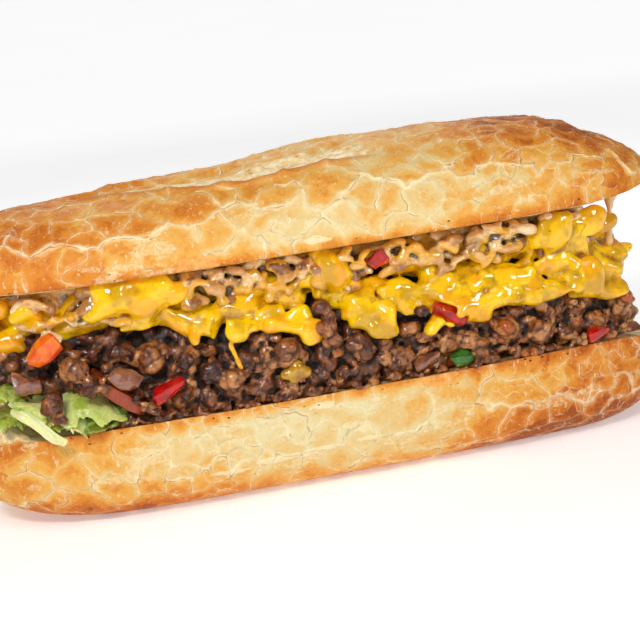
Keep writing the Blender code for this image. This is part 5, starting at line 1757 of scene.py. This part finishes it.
def lettuce_material():
    s = Shades(
        "crisp_lettuce", Specular_IOR_Level=0.5, Subsurface_Weight=0.3, Subsurface_Scale=0.004,
        Coat_Weight=0.4, Coat_Roughness=0.1,
    )
    s.colour = s.ramp(s["green"] + s.swing(0.7, 5.0, 4.0), *LETTUCE_TONES)
    s.paint(s.band(s["rib"] + s.swing(0.05, 3.0), 0.1, 0.03) * 0.8, 244, 240, 204)
    vein = s.band(s.voronoi(4.2, "DISTANCE_TO_EDGE", s.wavy(3.0, 2.0)), 0.02, 0.09, 0.26, 0.0)
    s.paint(vein, 232, 234, 172)
    s.paint(s.band(s.voronoi(5.0), 0.03, 0.06, 0.8, 0.0), 90, 80, 30)
    return s.finish(s.band(s.noise(3.0), 0.3, 0.7, 0.2, 0.4), s.noise(2.6, 4.0) + vein * -0.6, 0.5, 0.6)


# Stage

CAMERA_AZIMUTH, CAMERA_ELEVATION, CAMERA_ROLL = math.radians(-10), math.radians(15), math.radians(-7)
CAMERA_DISTANCE = 520.0
CAMERA_SPAN = 218.0
CAMERA_TARGET = Vector((2.0, 0.0, 48.1))
SENSOR_WIDTH = 36.0
SKY_LIGHT, BEHIND_LIGHT = 0.2, 1.0
LIGHT_TARGET = Vector((0, 0, 50))
# Name, place, size and power of each light with a surface
LIGHTS = (
    ("key", (-230, -400, 400), (140, 76), 1.34),
    ("front", (-110, -500, 170), (60, 30), 0.26),
    ("fill", (330, -440, 300), (110, 60), 0.56),
    ("back", (60, 460, 420), (300, 170), 1.2),
)
SUN_DIRECTION, SUN_POWER, SUN_SPREAD = (0.25, 0.7, -1.3), 0.42, math.radians(30)
FLOOR_REACH = 30.0
FLOOR_GLOW_REACH = (200.0, 1100.0)
FLOOR_GLOW = (0.3, 0.66)
FLOOR_TINT = (0.93, 0.96)


def make_camera():
    data = bpy.data.cameras.new("photo_camera")
    data.sensor_width = SENSOR_WIDTH
    data.lens = CAMERA_DISTANCE * SENSOR_WIDTH / CAMERA_SPAN
    data.clip_start = 0.01
    camera = put("photo_camera", data)
    flat = math.cos(CAMERA_ELEVATION)
    away = (math.sin(CAMERA_AZIMUTH) * flat, -math.cos(CAMERA_AZIMUTH) * flat, math.sin(CAMERA_ELEVATION))
    back = Vector(away)
    right = Vector((0, 0, 1)).cross(back).normalized()
    up = back.cross(right)
    level_right = math.cos(CAMERA_ROLL) * right + math.sin(CAMERA_ROLL) * up
    level_up = -math.sin(CAMERA_ROLL) * right + math.cos(CAMERA_ROLL) * up
    place = (CAMERA_TARGET + back * CAMERA_DISTANCE) * MM
    rows = [[*row, place[i]] for i, row in enumerate(zip(level_right, level_up, back))]
    camera.matrix_world = Matrix(rows + [[0, 0, 0, 1]])
    bpy.context.scene.camera = camera


def make_light(name, kind, power, way):
    """A light that shines one way, and its data."""
    data = bpy.data.lights.new(name, kind)
    data.energy = power
    light = put(name, data)
    light.rotation_euler = way.to_track_quat("-Z", "Y").to_euler()
    return light, data


def make_lights():
    _, sun = make_light("soft_sun", "SUN", SUN_POWER, Vector(SUN_DIRECTION))
    sun.angle = SUN_SPREAD
    for name, place, size, power in LIGHTS:
        light, data = make_light(name, "AREA", power, LIGHT_TARGET - Vector(place))
        data.shape = "RECTANGLE"
        data.size, data.size_y = (s * MM for s in size)
        light.location = Vector(place) * MM


def make_world():
    """White behind everything, and a softer white light from all round."""
    world = bpy.data.worlds.new("studio")
    world.use_nodes = True
    tree = world.node_tree
    soft, behind = tree.nodes["Background"], tree.nodes.new("ShaderNodeBackground")
    for background, strength in ((soft, SKY_LIGHT), (behind, BEHIND_LIGHT)):
        background.inputs["Color"].default_value = (1, 1, 1, 1)
        background.inputs["Strength"].default_value = strength
    either = tree.nodes.new("ShaderNodeMixShader")
    seen = tree.nodes.new("ShaderNodeLightPath").outputs["Is Camera Ray"]
    for number, source in enumerate((seen, soft.outputs[0], behind.outputs[0])):
        tree.links.new(source, either.inputs[number])
    tree.links.new(either.outputs[0], tree.nodes["World Output"].inputs["Surface"])
    bpy.context.scene.world = world


def make_stage():
    s = Shades("pale_floor", Roughness=0.8, Specular_IOR_Level=0.1, Emission_Color=(1, 1, 1, 1))
    away = s.node("VectorMath", {0: s.place}, operation="LENGTH").outputs["Value"]
    s.feed(s.shader.inputs["Emission Strength"], s.band(away, *FLOOR_GLOW_REACH, *FLOOR_GLOW))
    s.feed(s.shader.inputs["Base Color"], s.band(s.noise(300.0, 2.0), 0.3, 0.7, *FLOOR_TINT))
    mesh = bpy.data.meshes.new("floor")
    corners = [(-1, -1), (1, -1), (1, 1), (-1, 1)]
    mesh.from_pydata([(x * FLOOR_REACH, y * FLOOR_REACH, 0) for x, y in corners], [], [(0, 1, 2, 3)])
    mesh.materials.append(s.material)
    floor = put("floor", mesh)
    make_world()
    bpy.context.scene.view_settings.view_transform = "Standard"
    make_lights()


def main():
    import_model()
    crust = crust_material()
    onion_piece = onion_piece_material()
    make_lower_roll(crust)
    make_upper_roll(crust)
    make_beef(beef_material())
    make_cheese(cheese_material())
    make_onions(onion_material())
    make_sauce(sauce_material())
    peppers = {kind: pepper_material(kind + "_skin", *colours) for kind, colours in PEPPERS.items()}
    make_toppings(peppers | {"onion": onion_piece})
    make_tomatoes(tomato_material())
    make_leaves(lettuce_material())
    make_stage()
    make_camera()


main()
